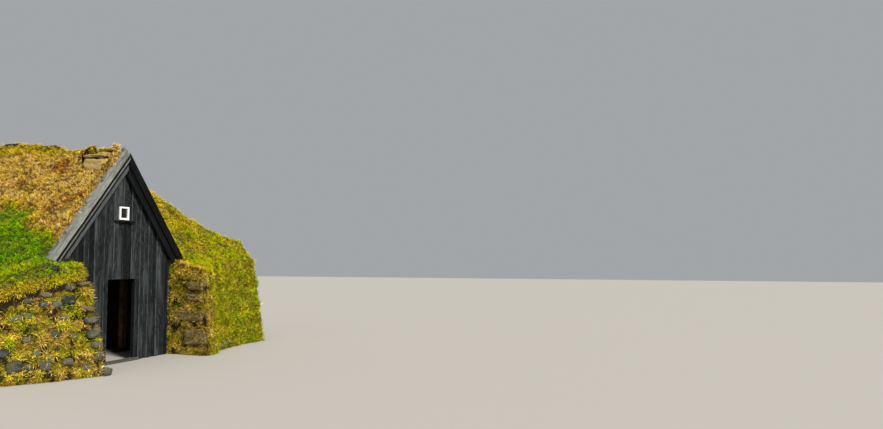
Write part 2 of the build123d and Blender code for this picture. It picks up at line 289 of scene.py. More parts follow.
def grass_pattern(tree, look, root_shade, tuft_shades, mix):
    """Blades darkened from the root up by painted shade, each tuft and each blade with a tone of its
    own.
    """
    place = add(tree, "ShaderNodeTexCoord", out="Object")
    dry, rust, tone, blade, tip = (
        add(tree, "ShaderNodeAttribute", out="Fac", attribute_name=name)
        for name in ("dry", "rust", "tone", "blade", "tip")
    )
    dryer = varied(
        tree, dry, "ADD", (tone, 0.0, 1.0, -0.17, 0.17), (blade, 0.0, 1.0, -mix, mix),
        (tip, 0.4, 1.0, 0.0, 0.14),
    )
    shade = add(tree, "ShaderNodeValToRGB", [dryer], stops=turf_stops(look))
    rusty = varied(tree, rust, "MULTIPLY", (tone, 0.25, 0.6, 0.0, 1.0))
    shade = layered(tree, shade, (rusty, look.rust))
    # Painted shade: blades get darker towards the root, where the tufts shade them
    root = add(tree, "ShaderNodeMapRange", [tip, 0.0, 0.6, root_shade, 1.0])
    light = varied(
        tree, root, "MULTIPLY", (tone, 0.0, 1.0, *tuft_shades), (blade, 0.0, 1.0, 0.7, 1.4)
    )
    shade = add(tree, "ShaderNodeVectorMath", {0: shade, 3: light}, operation="SCALE")
    return shade, add(tree, "ShaderNodeTexNoise", dict(Vector=place, Scale=marks(16.7)))


def sod_pattern(tree, look):
    """Matted grass and soil between the tufts, and bare soil where nothing grows."""
    place = add(tree, "ShaderNodeTexCoord", out="Object")
    dry, rust, grow = (
        add(tree, "ShaderNodeAttribute", out="Fac", attribute_name=name)
        for name in ("dry", "rust", "grow")
    )
    mat = dict(Vector=place, Scale=marks(38), Detail=4.0, Roughness=0.7)
    thatch = add(tree, "ShaderNodeTexNoise", mat)
    shade = add(tree, "ShaderNodeValToRGB", [dry], stops=turf_stops(look))
    shade = layered(
        tree, shade, (rust, look.rust), (0.55, look.thatch),
        (thatch, 0.44, 0.6, 0.95, 0.35, look.soil), (grow, 0.05, 0.4, 1.0, 0.0, look.soil),
    )
    return shade, thatch


def earth_pattern(tree, look):
    """Stacked turf with roots, and dark soil where nothing grows on it."""
    place = add(tree, "ShaderNodeTexCoord", out="Object")
    dry, grow = (
        add(tree, "ShaderNodeAttribute", out="Fac", attribute_name=name)
        for name in ("dry", "grow")
    )
    clods = dict(Vector=place, Scale=marks(100), Detail=5.0, Roughness=0.65)
    clod = add(tree, "ShaderNodeTexNoise", clods)
    roots = dict(Vector=place, Scale=marks(22), Detail=3.0, Roughness=0.7)
    root = add(tree, "ShaderNodeTexNoise", roots)
    shade = add(tree, "ShaderNodeValToRGB", [dry], stops=turf_stops(look))
    shade = layered(tree, shade, (0.5, look.thatch), (root, 0.5, 0.7, 0.0, 0.6, look.dried))
    open_soil = add(tree, "ShaderNodeMapRange", [clod, 0.42, 0.56, 0.95, 0.25])
    soil = varied(tree, open_soil, "MAXIMUM", (grow, 0.25, 0.6, 1.0, 0.0))
    shade = layered(tree, shade, (soil, look.soil))
    return shade, add(tree, "ShaderNodeMath", [clod, root], operation="ADD")


def stone_pattern(tree, look, stops, pores):
    """Cloudy stone, darker or browner by its own tone, with pores and pale lichen."""
    place = add(tree, "ShaderNodeTexCoord", out="Object")
    tone = add(tree, "ShaderNodeAttribute", out="Fac", attribute_name="tone")
    clouds = dict(Vector=place, Scale=marks(140), Detail=5.0, Roughness=0.6)
    cloud = add(tree, "ShaderNodeTexNoise", clouds)
    tone = varied(tree, tone, "ADD", (cloud, 0.3, 0.7, -0.25, 0.25))
    shade = add(tree, "ShaderNodeValToRGB", [tone], stops=stops)
    spots = dict(Vector=place, Scale=marks(62), Detail=4.0, Roughness=0.7)
    spot = add(tree, "ShaderNodeTexNoise", spots)
    pore = add(tree, "ShaderNodeTexVoronoi", dict(Vector=place, Scale=pores))
    hole = add(tree, "ShaderNodeMapRange", [pore, 0.0, 0.35, 0.55, 0.0])
    shade = layered(tree, shade, (spot, 0.56, 0.66, 0.0, 0.5, look.lichen), (hole, look.soil))
    return shade, add(tree, "ShaderNodeMath", [cloud, hole], operation="SUBTRACT")


def dried_pattern(tree, look):
    """Cut blocks of turf dried to a felt of flat-lying fibres."""
    place = add(tree, "ShaderNodeTexCoord", out="Object")
    flat = add(tree, "ShaderNodeMapping", {"Vector": place, "Scale": (1.0, 0.4, 1.6)})
    fibres = dict(Vector=flat, Scale=marks(29), Detail=5.0, Roughness=0.75)
    fibre = add(tree, "ShaderNodeTexNoise", fibres)
    broad = add(tree, "ShaderNodeTexNoise", dict(Vector=place, Scale=marks(165), Detail=3.0))
    shade = layered(
        tree, look.dried, (broad, 0.4, 0.7, 0.0, 0.35, look.straw),
        (fibre, 0.42, 0.58, 0.95, 0.0, look.dried_dark),
    )
    return shade, fibre


def board_pattern(tree, look, shades, knots, wear, rim_wear_and_highlight, painted_shadow=None):
    """Sawn board along its own grain, kept in the map "grain" in metres. Its shades are the
    ground, the streaks and the worn edges; the lighter edges are rubbed wear and painted
    highlight. The last, optional value is a colour of painted shadow for the first part of
    its width, where the board above casts its shadow, with where that part ends."""
    base, streak, worn = shades
    grain = add(tree, "ShaderNodeUVMap", uv_map="grain")
    tone, side = (
        add(tree, "ShaderNodeAttribute", out="Fac", attribute_name=name)
        for name in ("tone", "side")
    )
    long, slow, stretch = (
        add(tree, "ShaderNodeMapping", {"Vector": grain, "Scale": (1.0, along, 1.0)})
        for along in (0.03, 0.14, 0.45)
    )
    # Fibres drawn twice as coarse as real ones, so that they show
    fibre = add(tree, "ShaderNodeTexNoise", dict(Vector=long, Scale=marks(4.55), Detail=3.0))
    bands = dict(Vector=slow, Scale=marks(29), Detail=4.0, Roughness=0.65)
    band = add(tree, "ShaderNodeTexNoise", bands)
    patch = add(tree, "ShaderNodeTexNoise", dict(Vector=slow, Scale=marks(140), Detail=3.0))
    knot = add(tree, "ShaderNodeTexVoronoi", dict(Vector=stretch, Scale=knots))
    shade = layered(
        tree, base, (band, 0.38, 0.62, 0.0, 1.0, streak), (fibre, 0.5, 0.68, 0.0, 0.7, worn),
        (patch, 0.5, 0.7, 0.0, wear, worn), (knot, 0.05, 0.14, 0.85, 0.0, base),
    )
    # Lighter rims along both edges: rubbed wear, and painted highlight for the light that the battens'
    # edges catch
    middle = varied(tree, side, "ADD", (band, 0.3, 0.7, -0.1, 0.1))
    middle = add(tree, "ShaderNodeMath", [middle, 0.5], operation="SUBTRACT")
    middle = add(tree, "ShaderNodeMath", [middle], operation="ABSOLUTE")
    shade = layered(tree, shade, (middle, 0.42, 0.5, 0.0, rim_wear_and_highlight, worn))
    own = add(tree, "ShaderNodeMapRange", [tone, 0.0, 1.0, 0.42, 1.6])
    shade = add(tree, "ShaderNodeVectorMath", {0: shade, 3: own}, operation="SCALE")
    # Painted shadow: the first part of the width is laid in the dark colour, for the shadow of the
    # board above
    if painted_shadow:
        dark, ends = painted_shadow
        shade = layered(tree, shade, (side, ends - 0.04, ends + 0.04, 1.0, 0.0, dark))
    return shade, add(tree, "ShaderNodeMath", [fibre, band], operation="ADD")


def cap_pattern(tree, look, shades):
    """Silvered board with bleached grain, and dark knots and rot along its rear edge."""
    shade, rise = board_pattern(tree, look, shades, marks(250), 0.5, 0.0)
    grain = add(tree, "ShaderNodeUVMap", uv_map="grain")
    side = add(tree, "ShaderNodeAttribute", out="Fac", attribute_name="side")
    rot = dict(Vector=grain, Scale=marks(125), Detail=5.0, Roughness=0.75)
    rotten = add(tree, "ShaderNodeTexNoise", rot)
    rotten = varied(tree, rotten, "ADD", (side, 0.3, 1.0, -0.12, 0.08))
    return layered(tree, shade, (rotten, 0.5, 0.58, 0.0, 0.8, look.silver_dark)), rise


def old_timber_pattern(tree, look):
    """Sawn timber on nodes that have no map of their own, by place in the house."""
    place = add(tree, "ShaderNodeTexCoord", out="Object")
    slow = add(tree, "ShaderNodeMapping", {"Vector": place, "Scale": (1.0, 0.3, 0.3)})
    bands = dict(Vector=slow, Scale=marks(33), Detail=4.0, Roughness=0.65)
    band = add(tree, "ShaderNodeTexNoise", bands)
    stops = ((0.3, look.timber_dark), (0.7, look.timber))
    return add(tree, "ShaderNodeValToRGB", [band], stops=stops), band


def paint_pattern(tree, look):
    """White paint with a little dirt in it."""
    place = add(tree, "ShaderNodeTexCoord", out="Object")
    dirt = add(tree, "ShaderNodeTexNoise", dict(Vector=place, Scale=marks(40), Detail=4.0))
    return layered(tree, look.paint, (dirt, 0.55, 0.75, 0.0, 0.4, look.silver)), dirt


def pane_pattern(tree, look):
    """Old glass, hardly uneven."""
    place = add(tree, "ShaderNodeTexCoord", out="Object")
    ripple = add(tree, "ShaderNodeTexNoise", dict(Vector=place, Scale=marks(165)))
    return layered(tree, look.pane, (ripple, 0.4, 0.8, 0.0, 0.08, look.silver)), ripple


MATERIALS = {}


class HOUSE_OT_finishes(bpy.types.Operator):
    """Every finish of the house, from the colours in the settings"""

    bl_idname = "turf_house.finishes"
    bl_label = "Finishes"

    def execute(self, context):
        look = context.scene.turf_house_finishes
        basalt = ((0.0, look.stone_dark), (0.5, look.stone), (1.0, look.stone_warm))
        slabs = ((0.0, look.slab_dark), (0.6, look.slab))
        tarred = (look.tar, look.tar_streak, look.tar_worn)
        shaded = (look.tar, look.tar, look.tar_streak)
        silvered = (look.silver, look.silver_pale, look.silver_dark)
        greyed = (look.silver_dark, look.tar_worn, look.tar_worn)
        trodden = (look.step, look.silver, look.silver_dark)
        few, many = marks(330), marks(250)
        # Key, name, roughness, height of the bumps, pattern and its values
        for finish, name, rough, bump, pattern, *values in (
            # Coarse grass, dry at the tips: dull, so almost no highlight
            ("grass", "grass_blades", 0.85, 0.001, grass_pattern, 0.35, (1.3, 0.85), 0.12),
            # Straw hanging from the walls, with strong painted shade at the roots down in the gaps
            # between the tufts
            ("straw", "wall_straw", 0.85, 0.001, grass_pattern, 0.05, (1.6, 0.3), 0.32),
            # Matted thatch and soil between the tufts: rough and dark
            ("sod", "sod_thatch", 0.95, 0.02, sod_pattern),
            # Stacked turf of the walls, with soil and roots showing: rough, never shiny
            ("earth", "stacked_turf", 0.95, 0.03, earth_pattern),
            # Blocks of turf dried hard: a dull felt of fibres
            ("dried", "dried_turf", 0.95, 0.02, dried_pattern),
            # Basalt lava with open pores and pale lichen: rough
            ("stone", "basalt_lava", 0.9, 0.008, stone_pattern, basalt, marks(25)),
            # Flat slabs bleached by the weather: smoother, khaki
            ("slab", "bleached_slab", 0.85, 0.004, stone_pattern, slabs, marks(14.3)),
            # Pine boards tarred over and over: dull black, greyed where the tar has worn
            ("tar", "tarred_pine", 0.85, 0.0025, board_pattern, tarred, few, 0.6, 1.0),
            # The same boards on the gable's edge, shaded and blacker
            ("tar_trim", "tarred_trim", 0.85, 0.0025, board_pattern, shaded, few, 0.5, 0.6),
            # Bare pine gone silver grey, with open grain and dark knots
            ("silver", "silvered_pine", 0.9, 0.004, cap_pattern, silvered),
            # Boards of the sunny slope's edge: grey, with a painted shadow in tar black over the part
            # under the board above
            ("worn_outer", "worn_outer_trim", 0.85, 0.003, board_pattern, silvered, many,
             0.4, 0.0, (look.tar, 0.55)),
            ("worn_inner", "worn_inner_trim", 0.85, 0.003, board_pattern, greyed, many,
             0.3, 0.6, (look.tar, 0.68)),
            # Threshold rubbed pale by feet
            ("step", "worn_threshold", 0.75, 0.003, board_pattern, trodden, many, 0.4, 0.3),
            # Old sawn timber inside, brown and dull
            ("timber", "old_timber", 0.85, 0.002, old_timber_pattern),
            # Oil paint on the window's bars: slight gloss
            ("paint", "white_oil_paint", 0.5, 0.0005, paint_pattern),
            # A small pane, coloured near black as painted shade for the dark room behind it: smooth,
            # with sharp reflections
            ("glass", "dark_pane", 0.1, 0.0003, pane_pattern),
        ):
            made = bpy.data.materials.new(name)
            made.use_nodes = True
            tree = made.node_tree
            tree.nodes.clear()
            shade, height = pattern(tree, look, *values)
            bumps = {"Strength": 1.0, "Distance": bump, "Height": height}
            shader = {
                "Base Color": shade,
                "Roughness": rough,
                "Normal": add(tree, "ShaderNodeBump", bumps),
                "Specular IOR Level": 0.1 if rough > 0.5 else 0.5,
            }
            surface = add(tree, "ShaderNodeBsdfPrincipled", shader)
            add(tree, "ShaderNodeOutputMaterial", {"Surface": surface}, out=None)
            MATERIALS[finish] = made
        return {"FINISHED"}


# Meshes and pieces

# Ways in which a board's length, width and thickness run
UPRIGHT = ((0, 0, 1), (1, 0, 0), (0, -1, 0))
LEVEL = ((1, 0, 0), (0, 0, 1), (0, -1, 0))
FLAT = ((1, 0, 0), (0, 1, 0), (0, 0, 1))
LEDGE = ((1, 0, 0), (0, -1, 0), (0, 0, 1))


def mesh_of(bm, name):
    """Smooth mesh of a BMesh, which is freed."""
    mesh = bpy.data.meshes.new(name)
    bm.to_mesh(mesh)
    bm.free()
    mesh.shade_smooth()
    return mesh


def placed(name, data):
    """New object in the scene."""
    made = bpy.data.objects.new(name, data)
    bpy.context.scene.collection.objects.link(made)
    return made


def finish_piece(mesh, finish, slot, *nodes):
    """Object for a mesh, riding on the house, with its material and replaced nodes. The slot is not
    used.
    """
    made = placed(mesh.name, mesh)
    if finish:
        mesh.materials.clear()
        mesh.materials.append(MATERIALS[finish])
    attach(made, "root")
    if nodes:
        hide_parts(*nodes)


def modified(bm, name, kind, settings, inputs):
    """Plain mesh of a BMesh with one modifier applied."""
    made = placed("ground", mesh_of(bm, "ground"))
    modifier = made.modifiers.new("ground", kind)
    for key, value in settings.items():
        setattr(modifier, key, value)
    for key, value in inputs.items():
        modifier[key] = value
    graph = bpy.context.evaluated_depsgraph_get()
    mesh = bpy.data.meshes.new_from_object(made.evaluated_get(graph))
    mesh.name = name
    bpy.data.objects.remove(made)
    return mesh


class Planks:
    """Boards joined in one mesh, each with grain along it and a shade of its own."""

    STEP = 0.14
    BEVEL = 0.003
    BEND = 0.0015

    def __init__(self, seed):
        self.bm = bmesh.new()
        self.uv = self.bm.loops.layers.uv.new("grain")
        self.tone = self.bm.verts.layers.float.new("tone")
        self.side = self.bm.verts.layers.float.new("side")
        self.random = random.Random(seed)

    def add(self, origin, ways, width, thick, start, end, rough=0.0015, splits=()):
        """One board. Its length, width and thickness run the three ways, and it goes from
        start(v, w) to end(v, w), each a number or a function of the place in its width and
        its thickness."""
        rnd = self.random
        origin = Vector(origin)
        along, across, out = (Vector(way) for way in ways)
        first = start if callable(start) else lambda v, w: start
        last = end if callable(end) else lambda v, w: end
        bevel = min(self.BEVEL, width * 0.2, thick * 0.2)
        inner = [width * k / 4 for k in (1, 2, 3)] + [s for s in splits if 0 < s < width]
        inner = sorted(v for v in inner if bevel < v < width - bevel)
        ring = [(bevel, 0.0)] + [(v, 0.0) for v in inner] + [(width - bevel, 0.0)]
        ring += [(width, bevel), (width, thick - bevel), (width - bevel, thick)]
        ring += [(v, thick) for v in reversed(inner)] + [(bevel, thick)]
        ring += [(0.0, thick - bevel), (0.0, bevel)]
        count = len(ring)
        span = last(0, 0) - first(0, 0)
        steps = max(2, int(span / self.STEP))
        shift = (rnd.uniform(0, 50), rnd.uniform(0, 50))
        shade = rnd.random()
        warp = [rnd.uniform(-1, 1) for _ in range(2)]
        rings = []
        for k in range(steps + 1):
            t = k / steps
            bend = self.BEND * (warp[0] * math.sin(3.1 * t) + warp[1] * math.sin(6.2 * t))
            rings.append([])
            for v, w in ring:
                low, high = first(v, w), last(v, w)
                u = low + (high - low) * t
                n = noise.noise_vector(Vector((u * 3 + shift[0], v * 9, shift[1])))
                n *= rough * (1.0 if v <= bevel or v >= width - bevel else 0.5)
                place = origin + along * u + across * (v + n.x) + out * (w + n.y + bend)
                vert = self.bm.verts.new(place)
                vert[self.tone], vert[self.side] = shade, v / width
                rings[-1].append(vert)
        around = [0.0]
        for a, b in zip(ring, ring[1:] + ring[:1]):
            around.append(around[-1] + math.dist(a, b))
        for k in range(steps):
            for i in range(count):
                j = (i + 1) % count
                corners = ((k, i), (k, j), (k + 1, j), (k + 1, i))
                face = self.bm.faces.new([rings[a][b] for a, b in corners])
                spans = (around[i], around[i + 1], around[i + 1], around[i])
                for loop, across_at, (level, _) in zip(face.loops, spans, corners):
                    u = first(0, 0) + span * level / steps
                    loop[self.uv].uv = (across_at + shift[0], u + shift[1])
        for verts, u in ((rings[0][::-1], first(0, 0)), (rings[-1], last(0, 0))):
            for loop in self.bm.faces.new(verts).loops:
                place = loop.vert.co
                loop[self.uv].uv = (place.dot(across) + shift[0], u + place.dot(out))

    def finish(self, name, finish, slot, *nodes):
        """The boards as one piece, which stands for some nodes."""
        bmesh.ops.recalc_face_normals(self.bm, faces=self.bm.faces)
        mesh = mesh_of(self.bm, name)
        mesh.set_sharp_from_angle(angle=math.radians(35))
        finish_piece(mesh, finish, slot, *nodes)


# Boarded front

# A strip of board narrower or shorter than this is left out
LEAST_WIDTH, LEAST_HEIGHT = 0.012, 0.05


def front_top(x):
    """Upper end of the boards at x, under the roof boards."""
    return min(roof_z(side_of(x), x, BOARDS_UNDER), PEAK - BOARDS_END)


def spans_beside(x0, x1, low, holes):
    """Stretches of a vertical board beside, under and over the openings it meets, each as
    (left, right, bottom, top), where top is None for one that goes up to the roof."""
    met = [h for h in holes if h[0] < x1 and h[1] > x0]
    levels = sorted({low} | {z for h in met for z in h[2:] if z > low}) + [None]
    made = []
    for bottom, top in zip(levels, levels[1:]):
        parts = [(x0, x1)]
        for left, right, z0, z1 in met:
            if z0 <= bottom + 0.01 < z1:
                beside = [(a, min(b, left)) for a, b in parts if a < left]
                parts = beside + [(max(a, right), b) for a, b in parts if b > right]
        made += [(a, b, bottom, top) for a, b in parts if b - a > LEAST_WIDTH]
    return made


def vertical_board(planks, x0, x1, y, thick, low):
    """One board or batten of the front, cut round the doorway and the window."""
    for a, b, bottom, top in spans_beside(x0, x1, low, (DOOR, WINDOW)):
        def end(v, w, a=a, top=top):
            return front_top(a + v) - GAP if top is None else top

        if top is None and max(front_top(a), front_top(b)) < bottom + LEAST_HEIGHT:
            continue
        ridge_split = (-a,) if a < 0 < b else ()
        planks.add((a, y + thick, 0), UPRIGHT, b - a, thick, bottom, end, 0.0012, ridge_split)


class HOUSE_OT_front(bpy.types.Operator):
    """Boards of the front, an under layer and battens over its joints"""

    bl_idname = "turf_house.front"
    bl_label = "Boarded front"

    def execute(self, context):
        sizes = context.scene.turf_house_boards
        count = int((HALF_ROOM - sizes.first) / sizes.pitch) + 1
        rights = [sizes.first + sizes.pitch * k for k in range(count)]
        edges = [GAP - HALF_ROOM] + rights + [HALF_ROOM - GAP]
        planks = Planks(11)
        rnd = planks.random
        for a, b in zip(edges, edges[1:]):
            low = 0.012 + rnd.uniform(0, 0.01)
            right = b - sizes.batten_width + sizes.lap if b in rights else b
            left = max(a - sizes.lap, GAP - HALF_ROOM)
            vertical_board(planks, left, right, sizes.thick, sizes.thick, low)
        for b in rights:
            low = 0.008 + rnd.uniform(0, 0.012)
            width = sizes.batten_width + rnd.uniform(-0.008, 0.008)
            vertical_board(planks, b - width, b, 0.0, sizes.thick, low)
        nodes = ("front_boards_left", "front_boards_right", "front_boards_top")
        planks.finish("front_boards", "tar", "tarred_boards", *nodes)
        return {"FINISHED"}


class HOUSE_OT_doorway(bpy.types.Operator):
    """Posts and head behind the doorway's boards, and the worn threshold"""

    bl_idname = "turf_house.doorway"
    bl_label = "Doorway"

    def execute(self, context):
        boards = Planks(21)
        depth = POSTS[0][1].y - BOARDS_BACK
        for low, high in POSTS:
            boards.add((low.x, high.y, 0), UPRIGHT, high.x - low.x, depth, low.z, high.z)
        low, high = DOOR_HEAD
        boards.add((0, high.y, low.z), LEVEL, high.z - low.z, depth, low.x, high.x)
        nodes = ("door_post_left", "door_post_right", "door_head")
        boards.finish("door_frame", "tar_trim", "tarred_trim", *nodes)
        low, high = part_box("threshold")
        step = Planks(22)
        step.add((0, low.y, 0), FLAT, high.y - low.y, high.z, low.x, high.x, 0.003)
        middle, tread = (low.x + high.x) / 2, 0.012
        for vert in step.bm.verts:
            if vert.co.z > high.z / 2:
                aside = min(abs(vert.co.x - middle) / (high.x - middle), 1)
                vert.co.z -= tread * (1 - aside**2)
        step.finish("threshold_board", "step", "threshold_wood", "threshold")
        return {"FINISHED"}


class HOUSE_OT_window(bpy.types.Operator):
    """White bars round the small pane, and the board below it"""

    bl_idname = "turf_house.window"
    bl_label = "Window"

    def execute(self, context):
        low, high = FRAME_LOW, FRAME_HIGH
        pane_low, pane_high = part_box("window_pane")
        bars = Planks(31)
        smooth = 0.0006
        depth, rear = high.y - low.y, high.y
        for x0, x1 in ((low.x, pane_low.x), (pane_high.x, high.x)):
            bars.add((x0, rear, 0), UPRIGHT, x1 - x0, depth, low.z, high.z, smooth)
        # The level bars lie a little behind the upright ones
        depth -= 0.002
        for z0, z1 in ((low.z, pane_low.z), (pane_high.z, high.z)):
            bars.add((0, rear, z0), LEVEL, z1 - z0, depth, pane_low.x, pane_high.x, smooth)
        bars.finish("window_bars", "paint", "white_paint", "window_frame")
        low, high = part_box("window_ledge")
        ledge = Planks(32)
        thick = high.z - low.z
        ledge.add((0, high.y, low.z), LEDGE, high.y - low.y, thick, low.x, high.x)
        ledge.finish("window_ledge_board", "tar_trim", "tarred_trim", "window_ledge")
        return {"FINISHED"}


class HOUSE_OT_gable_edge(bpy.types.Operator):
    """Stepped bargeboards and the wide boards over the roof's edge"""

    bl_idname = "turf_house.gable_edge"
    bl_label = "Gable edge"

    def execute(self, context):
        for side, name in SIDES.items():
            pitch = PITCH[side]
            slope = math.tan(pitch)
            down = Vector((side * math.cos(pitch), 0, -math.sin(pitch)))
            inward = Vector((-side * math.sin(pitch), 0, -math.cos(pitch)))
            run = EAVE[side] / math.cos(pitch)
            for k, kind in enumerate(("outer", "inner")):
                node = f"bargeboard_{kind}_{name}"
                low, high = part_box(node)
                width = (roof_z(side, EAVE[side]) - low.z) / math.cos(pitch)
                board = Planks(41 + side + 4 * k)
                board.add(
                    (0, high.y, PEAK), (down, inward, (0, -1, 0)), width, high.y - low.y,
                    lambda v, w, slope=slope: v * slope, run, 0.002,
                )
                # The left slope's boards take the grey finishes with a painted shadow under the board
                # above
                look, slot = ("worn_" + kind, "grey_trim") if side < 0 else ("tar_trim", "tarred_trim")
                board.finish(node + "_board", look, slot, node)
            low, high = CAPS[side]
            width = high.y - low.y

            def start(v, w, side=side, pitch=pitch, slope=slope, width=width):
                """The left board's end is cut at a slant past the ridge, the right one's plumb."""
                past = -CAP_CORNER + (CAP_PAST + CAP_CORNER) * v / width if side < 0 else -0.01
                return -past / math.cos(pitch) - w * slope

            node = "verge_cap_" + name
            board = Planks(61 + side)
            ways = (down, (0, 1, 0), -inward)
            board.add((0, low.y, PEAK), ways, width, CAP_THICK, start, run, 0.004)
            board.finish(node + "_board", "silver", "grey_board", node)
        return {"FINISHED"}


# Stones

# Stones of the left nose: distance from the middle, height, width, height of the stone,
# and 0 for a dark one to 1 for a brown one
NOSE_STONES = (
    (-1.75, 1.35, 0.26, 0.21, 0.0), (-1.47, 0.99, 0.25, 0.15, 0.3), (-1.47, 0.76, 0.26, 0.18, 0.35),
    (-1.44, 0.55, 0.22, 0.14, 0.6), (-1.43, 0.35, 0.2, 0.18, 0.4), (-1.52, 1.19, 0.28, 0.09, 1.0),
    (-1.49, 1.64, 0.22, 0.08, 0.9), (-1.72, 1.58, 0.2, 0.14, 0.2), (-1.96, 1.29, 0.18, 0.15, 0.3),
    (-2.15, 1.3, 0.17, 0.13, 0.2), (-2.53, 1.07, 0.22, 0.13, 0.5), (-2.38, 1.12, 0.17, 0.11, 0.6),
    (-2.03, 0.79, 0.15, 0.13, 0.2), (-1.75, 0.73, 0.13, 0.1, 0.5), (-2.43, 0.72, 0.14, 0.11, 0.5),
    (-2.75, 0.51, 0.26, 0.21, 0.1), (-2.65, 0.29, 0.26, 0.21, 0.2), (-2.48, 0.27, 0.17, 0.15, 0.3),
    (-2.24, 0.29, 0.23, 0.21, 0.4), (-1.93, 0.31, 0.19, 0.13, 0.6), (-2.32, 0.48, 0.15, 0.13, 0.5),
    (-2.9, 0.17, 0.22, 0.16, 0.6), (-2.1, 1.46, 0.2, 0.1, 0.8), (-2.35, 1.37, 0.18, 0.09, 0.3),
    (-1.62, 0.18, 0.17, 0.12, 0.5), (-2.06, 0.55, 0.13, 0.1, 0.2), (-1.86, 1.05, 0.16, 0.11, 0.4),
)
# Small stones at the foot of the right front, and under the foot of the left cap board
FRONT_STONES = (
    (2.3, 0.1, 0.16, 0.11, 0.6), (2.47, 0.09, 0.14, 0.1, 0.3), (2.66, 0.14, 0.15, 0.11, 0.5),
    (2.84, 0.12, 0.12, 0.09, 0.7),
)
CAP_FOOT_STONES = (
    (-1.9, 1.93, 0.14, 0.1, 0.0), (-2.03, 1.96, 0.1, 0.07, 0.1), (-1.78, 1.9, 0.1, 0.07, 0.4),
)
# Foot stone of the left nose: place and size
FOOT_STONE = (Vector((-1.33, -0.98, 0.06)), Vector((0.2, 0.18, 0.16)))
# Blocks of dried turf in the right return: distance in front of the boards, height, length,
# height of the block
RETURN_BLOCKS = (
    (-0.68, 1.5, 0.46, 0.19), (-0.68, 1.25, 0.38, 0.14), (-0.6, 0.85, 0.68, 0.23),
    (-0.7, 0.4, 0.58, 0.33),
)
BLOCK_DEPTH = 0.16
# Flat stones stacked in the bare patch: outer and inner edge, front and rear, underside,
# top and tone
STACKED_SLABS = (
    (-0.4, -0.1, 0.2, 0.7, 3.84, 4.115, 0.75), (-0.37, -0.1, 0.24, 0.72, 4.165, 4.225, 0.9),
    (-0.32, -0.12, 0.3, 0.4, 4.08, 4.18, 0.0), (-0.32, -0.12, 0.54, 0.66, 4.08, 4.18, 0.0),
    (-0.3, -0.1, 0.24, 0.42, 4.21, 4.27, 0.8),
)


def turned(x, y, z):
    return Euler((x, y, z)).to_quaternion()


def rock(bm, place, size, turn, seed, tone, square=0.3, faces=3):
    """Adds a knocked-about stone to bm, round or squarish, with so dark or brown a tone."""
    layer = bm.verts.layers.float.get("tone") or bm.verts.layers.float.new("tone")
    made = bmesh.ops.create_icosphere(bm, subdivisions=faces, radius=1.0)["verts"]
    shift = Vector((3.7, 1.3, 2.1)) * seed
    power = 2 + 5 * square
    for vert in made:
        way = vert.co.normalized()
        reach = sum(abs(c) ** power for c in way) ** (-1 / power)
        bump = 0.22 * noise.noise(way * 1.5 + shift) + 0.12 * noise.noise(way * 4.2 + shift)
        vert.co = place + turn @ (way * reach * (1 + bump) * 0.5 * size)
        vert[layer] = tone


def surface_of(name):
    """Tree for finding places on a piece's surface."""
    mesh = bpy.data.objects[name].data
    places = [v.co for v in mesh.vertices]
    return BVHTree.FromPolygons(places, [p.vertices for p in mesh.polygons])


def touched(surface, start, way, what):
    """Place where a line meets a surface, and the way out of it."""
    hit, normal, _, _ = surface.ray_cast(Vector(start), Vector(way))
    if hit is None:
        raise RuntimeError(what + " misses the wall")
    return hit, normal


class HOUSE_OT_stones(bpy.types.Operator):
    """Stones in the walls, blocks of dried turf, the foot stone and the stacked slabs"""

    bl_idname = "turf_house.stones"
    bl_label = "Stones"

    def execute(self, context):
        rnd = random.Random(71)
        for name, ground, stones in (
            ("stones_left_nose", "left_wall_turf", NOSE_STONES),
            ("stones_right_foot", "right_wall_turf", FRONT_STONES),
            ("stones_cap_foot", "turf_left", CAP_FOOT_STONES),
        ):
            bm = bmesh.new()
            surface = surface_of(ground)
            for k, (x, z, width, height, tone) in enumerate(stones):
                hit, normal = touched(surface, (x, -3, z), (0, 1, 0), f"stone {k} of {name}")
                turn = turned(0, rnd.uniform(-0.2, 0.2), 0)
                turn = normal.to_track_quat("-Y", "Z") @ turn
                size = Vector((0.9 * width, 0.8 * width, 0.9 * height))
                rock(bm, hit - normal * 0.06 * size.y, size, turn, k + len(name), tone, 0.5)
            finish_piece(mesh_of(bm, name), "stone", "pad_stone")
        bm = bmesh.new()
        surface = surface_of("right_wall_turf")
        for k, (y, z, long, height) in enumerate(RETURN_BLOCKS):
            hit, _ = touched(surface, (0.5, y, z), (1, 0, 0), f"block {k}")
            turn = turned(rnd.uniform(-0.05, 0.05), 0, rnd.uniform(-0.05, 0.05))
            size = Vector((BLOCK_DEPTH, long, height))
            rock(bm, hit + Vector((0.02, 0, 0)), size, turn, 31 + k, 0.5, 0.8, 4)
        finish_piece(mesh_of(bm, "turf_blocks"), "dried", "turf_wall")
        bm = bmesh.new()
        rock(bm, *FOOT_STONE, turned(0.1, 0.2, 0.4), 5, 0.35)
        for vert in bm.verts:
            vert.co.z = max(vert.co.z, 0.0)
        finish_piece(mesh_of(bm, "foot_stone"), "stone", "pad_stone")
        bm = bmesh.new()
        for k, (x0, x1, y0, y1, z0, z1, tone) in enumerate(STACKED_SLABS):
            low, high = Vector((x0, y0, z0)), Vector((x1, y1, z1))
            turn = turned(0.02 * (-1) ** k, -0.04, 0.03 * (-1) ** k)
            rock(bm, (low + high) / 2, high - low, turn, 51 + k, tone, 2.0, 4)
        finish_piece(mesh_of(bm, "slab_stack"), "slab", "slab_stone")
        return {"FINISHED"}


# Earth: turf and walls

# Places this near a seam between two pieces stay level with it
SEAM_REACH = 0.07
# How far a piece laps under or into its neighbour
LAP = 0.05
# Faces this near the room or the back gable belong to them
INSIDE = 0.08
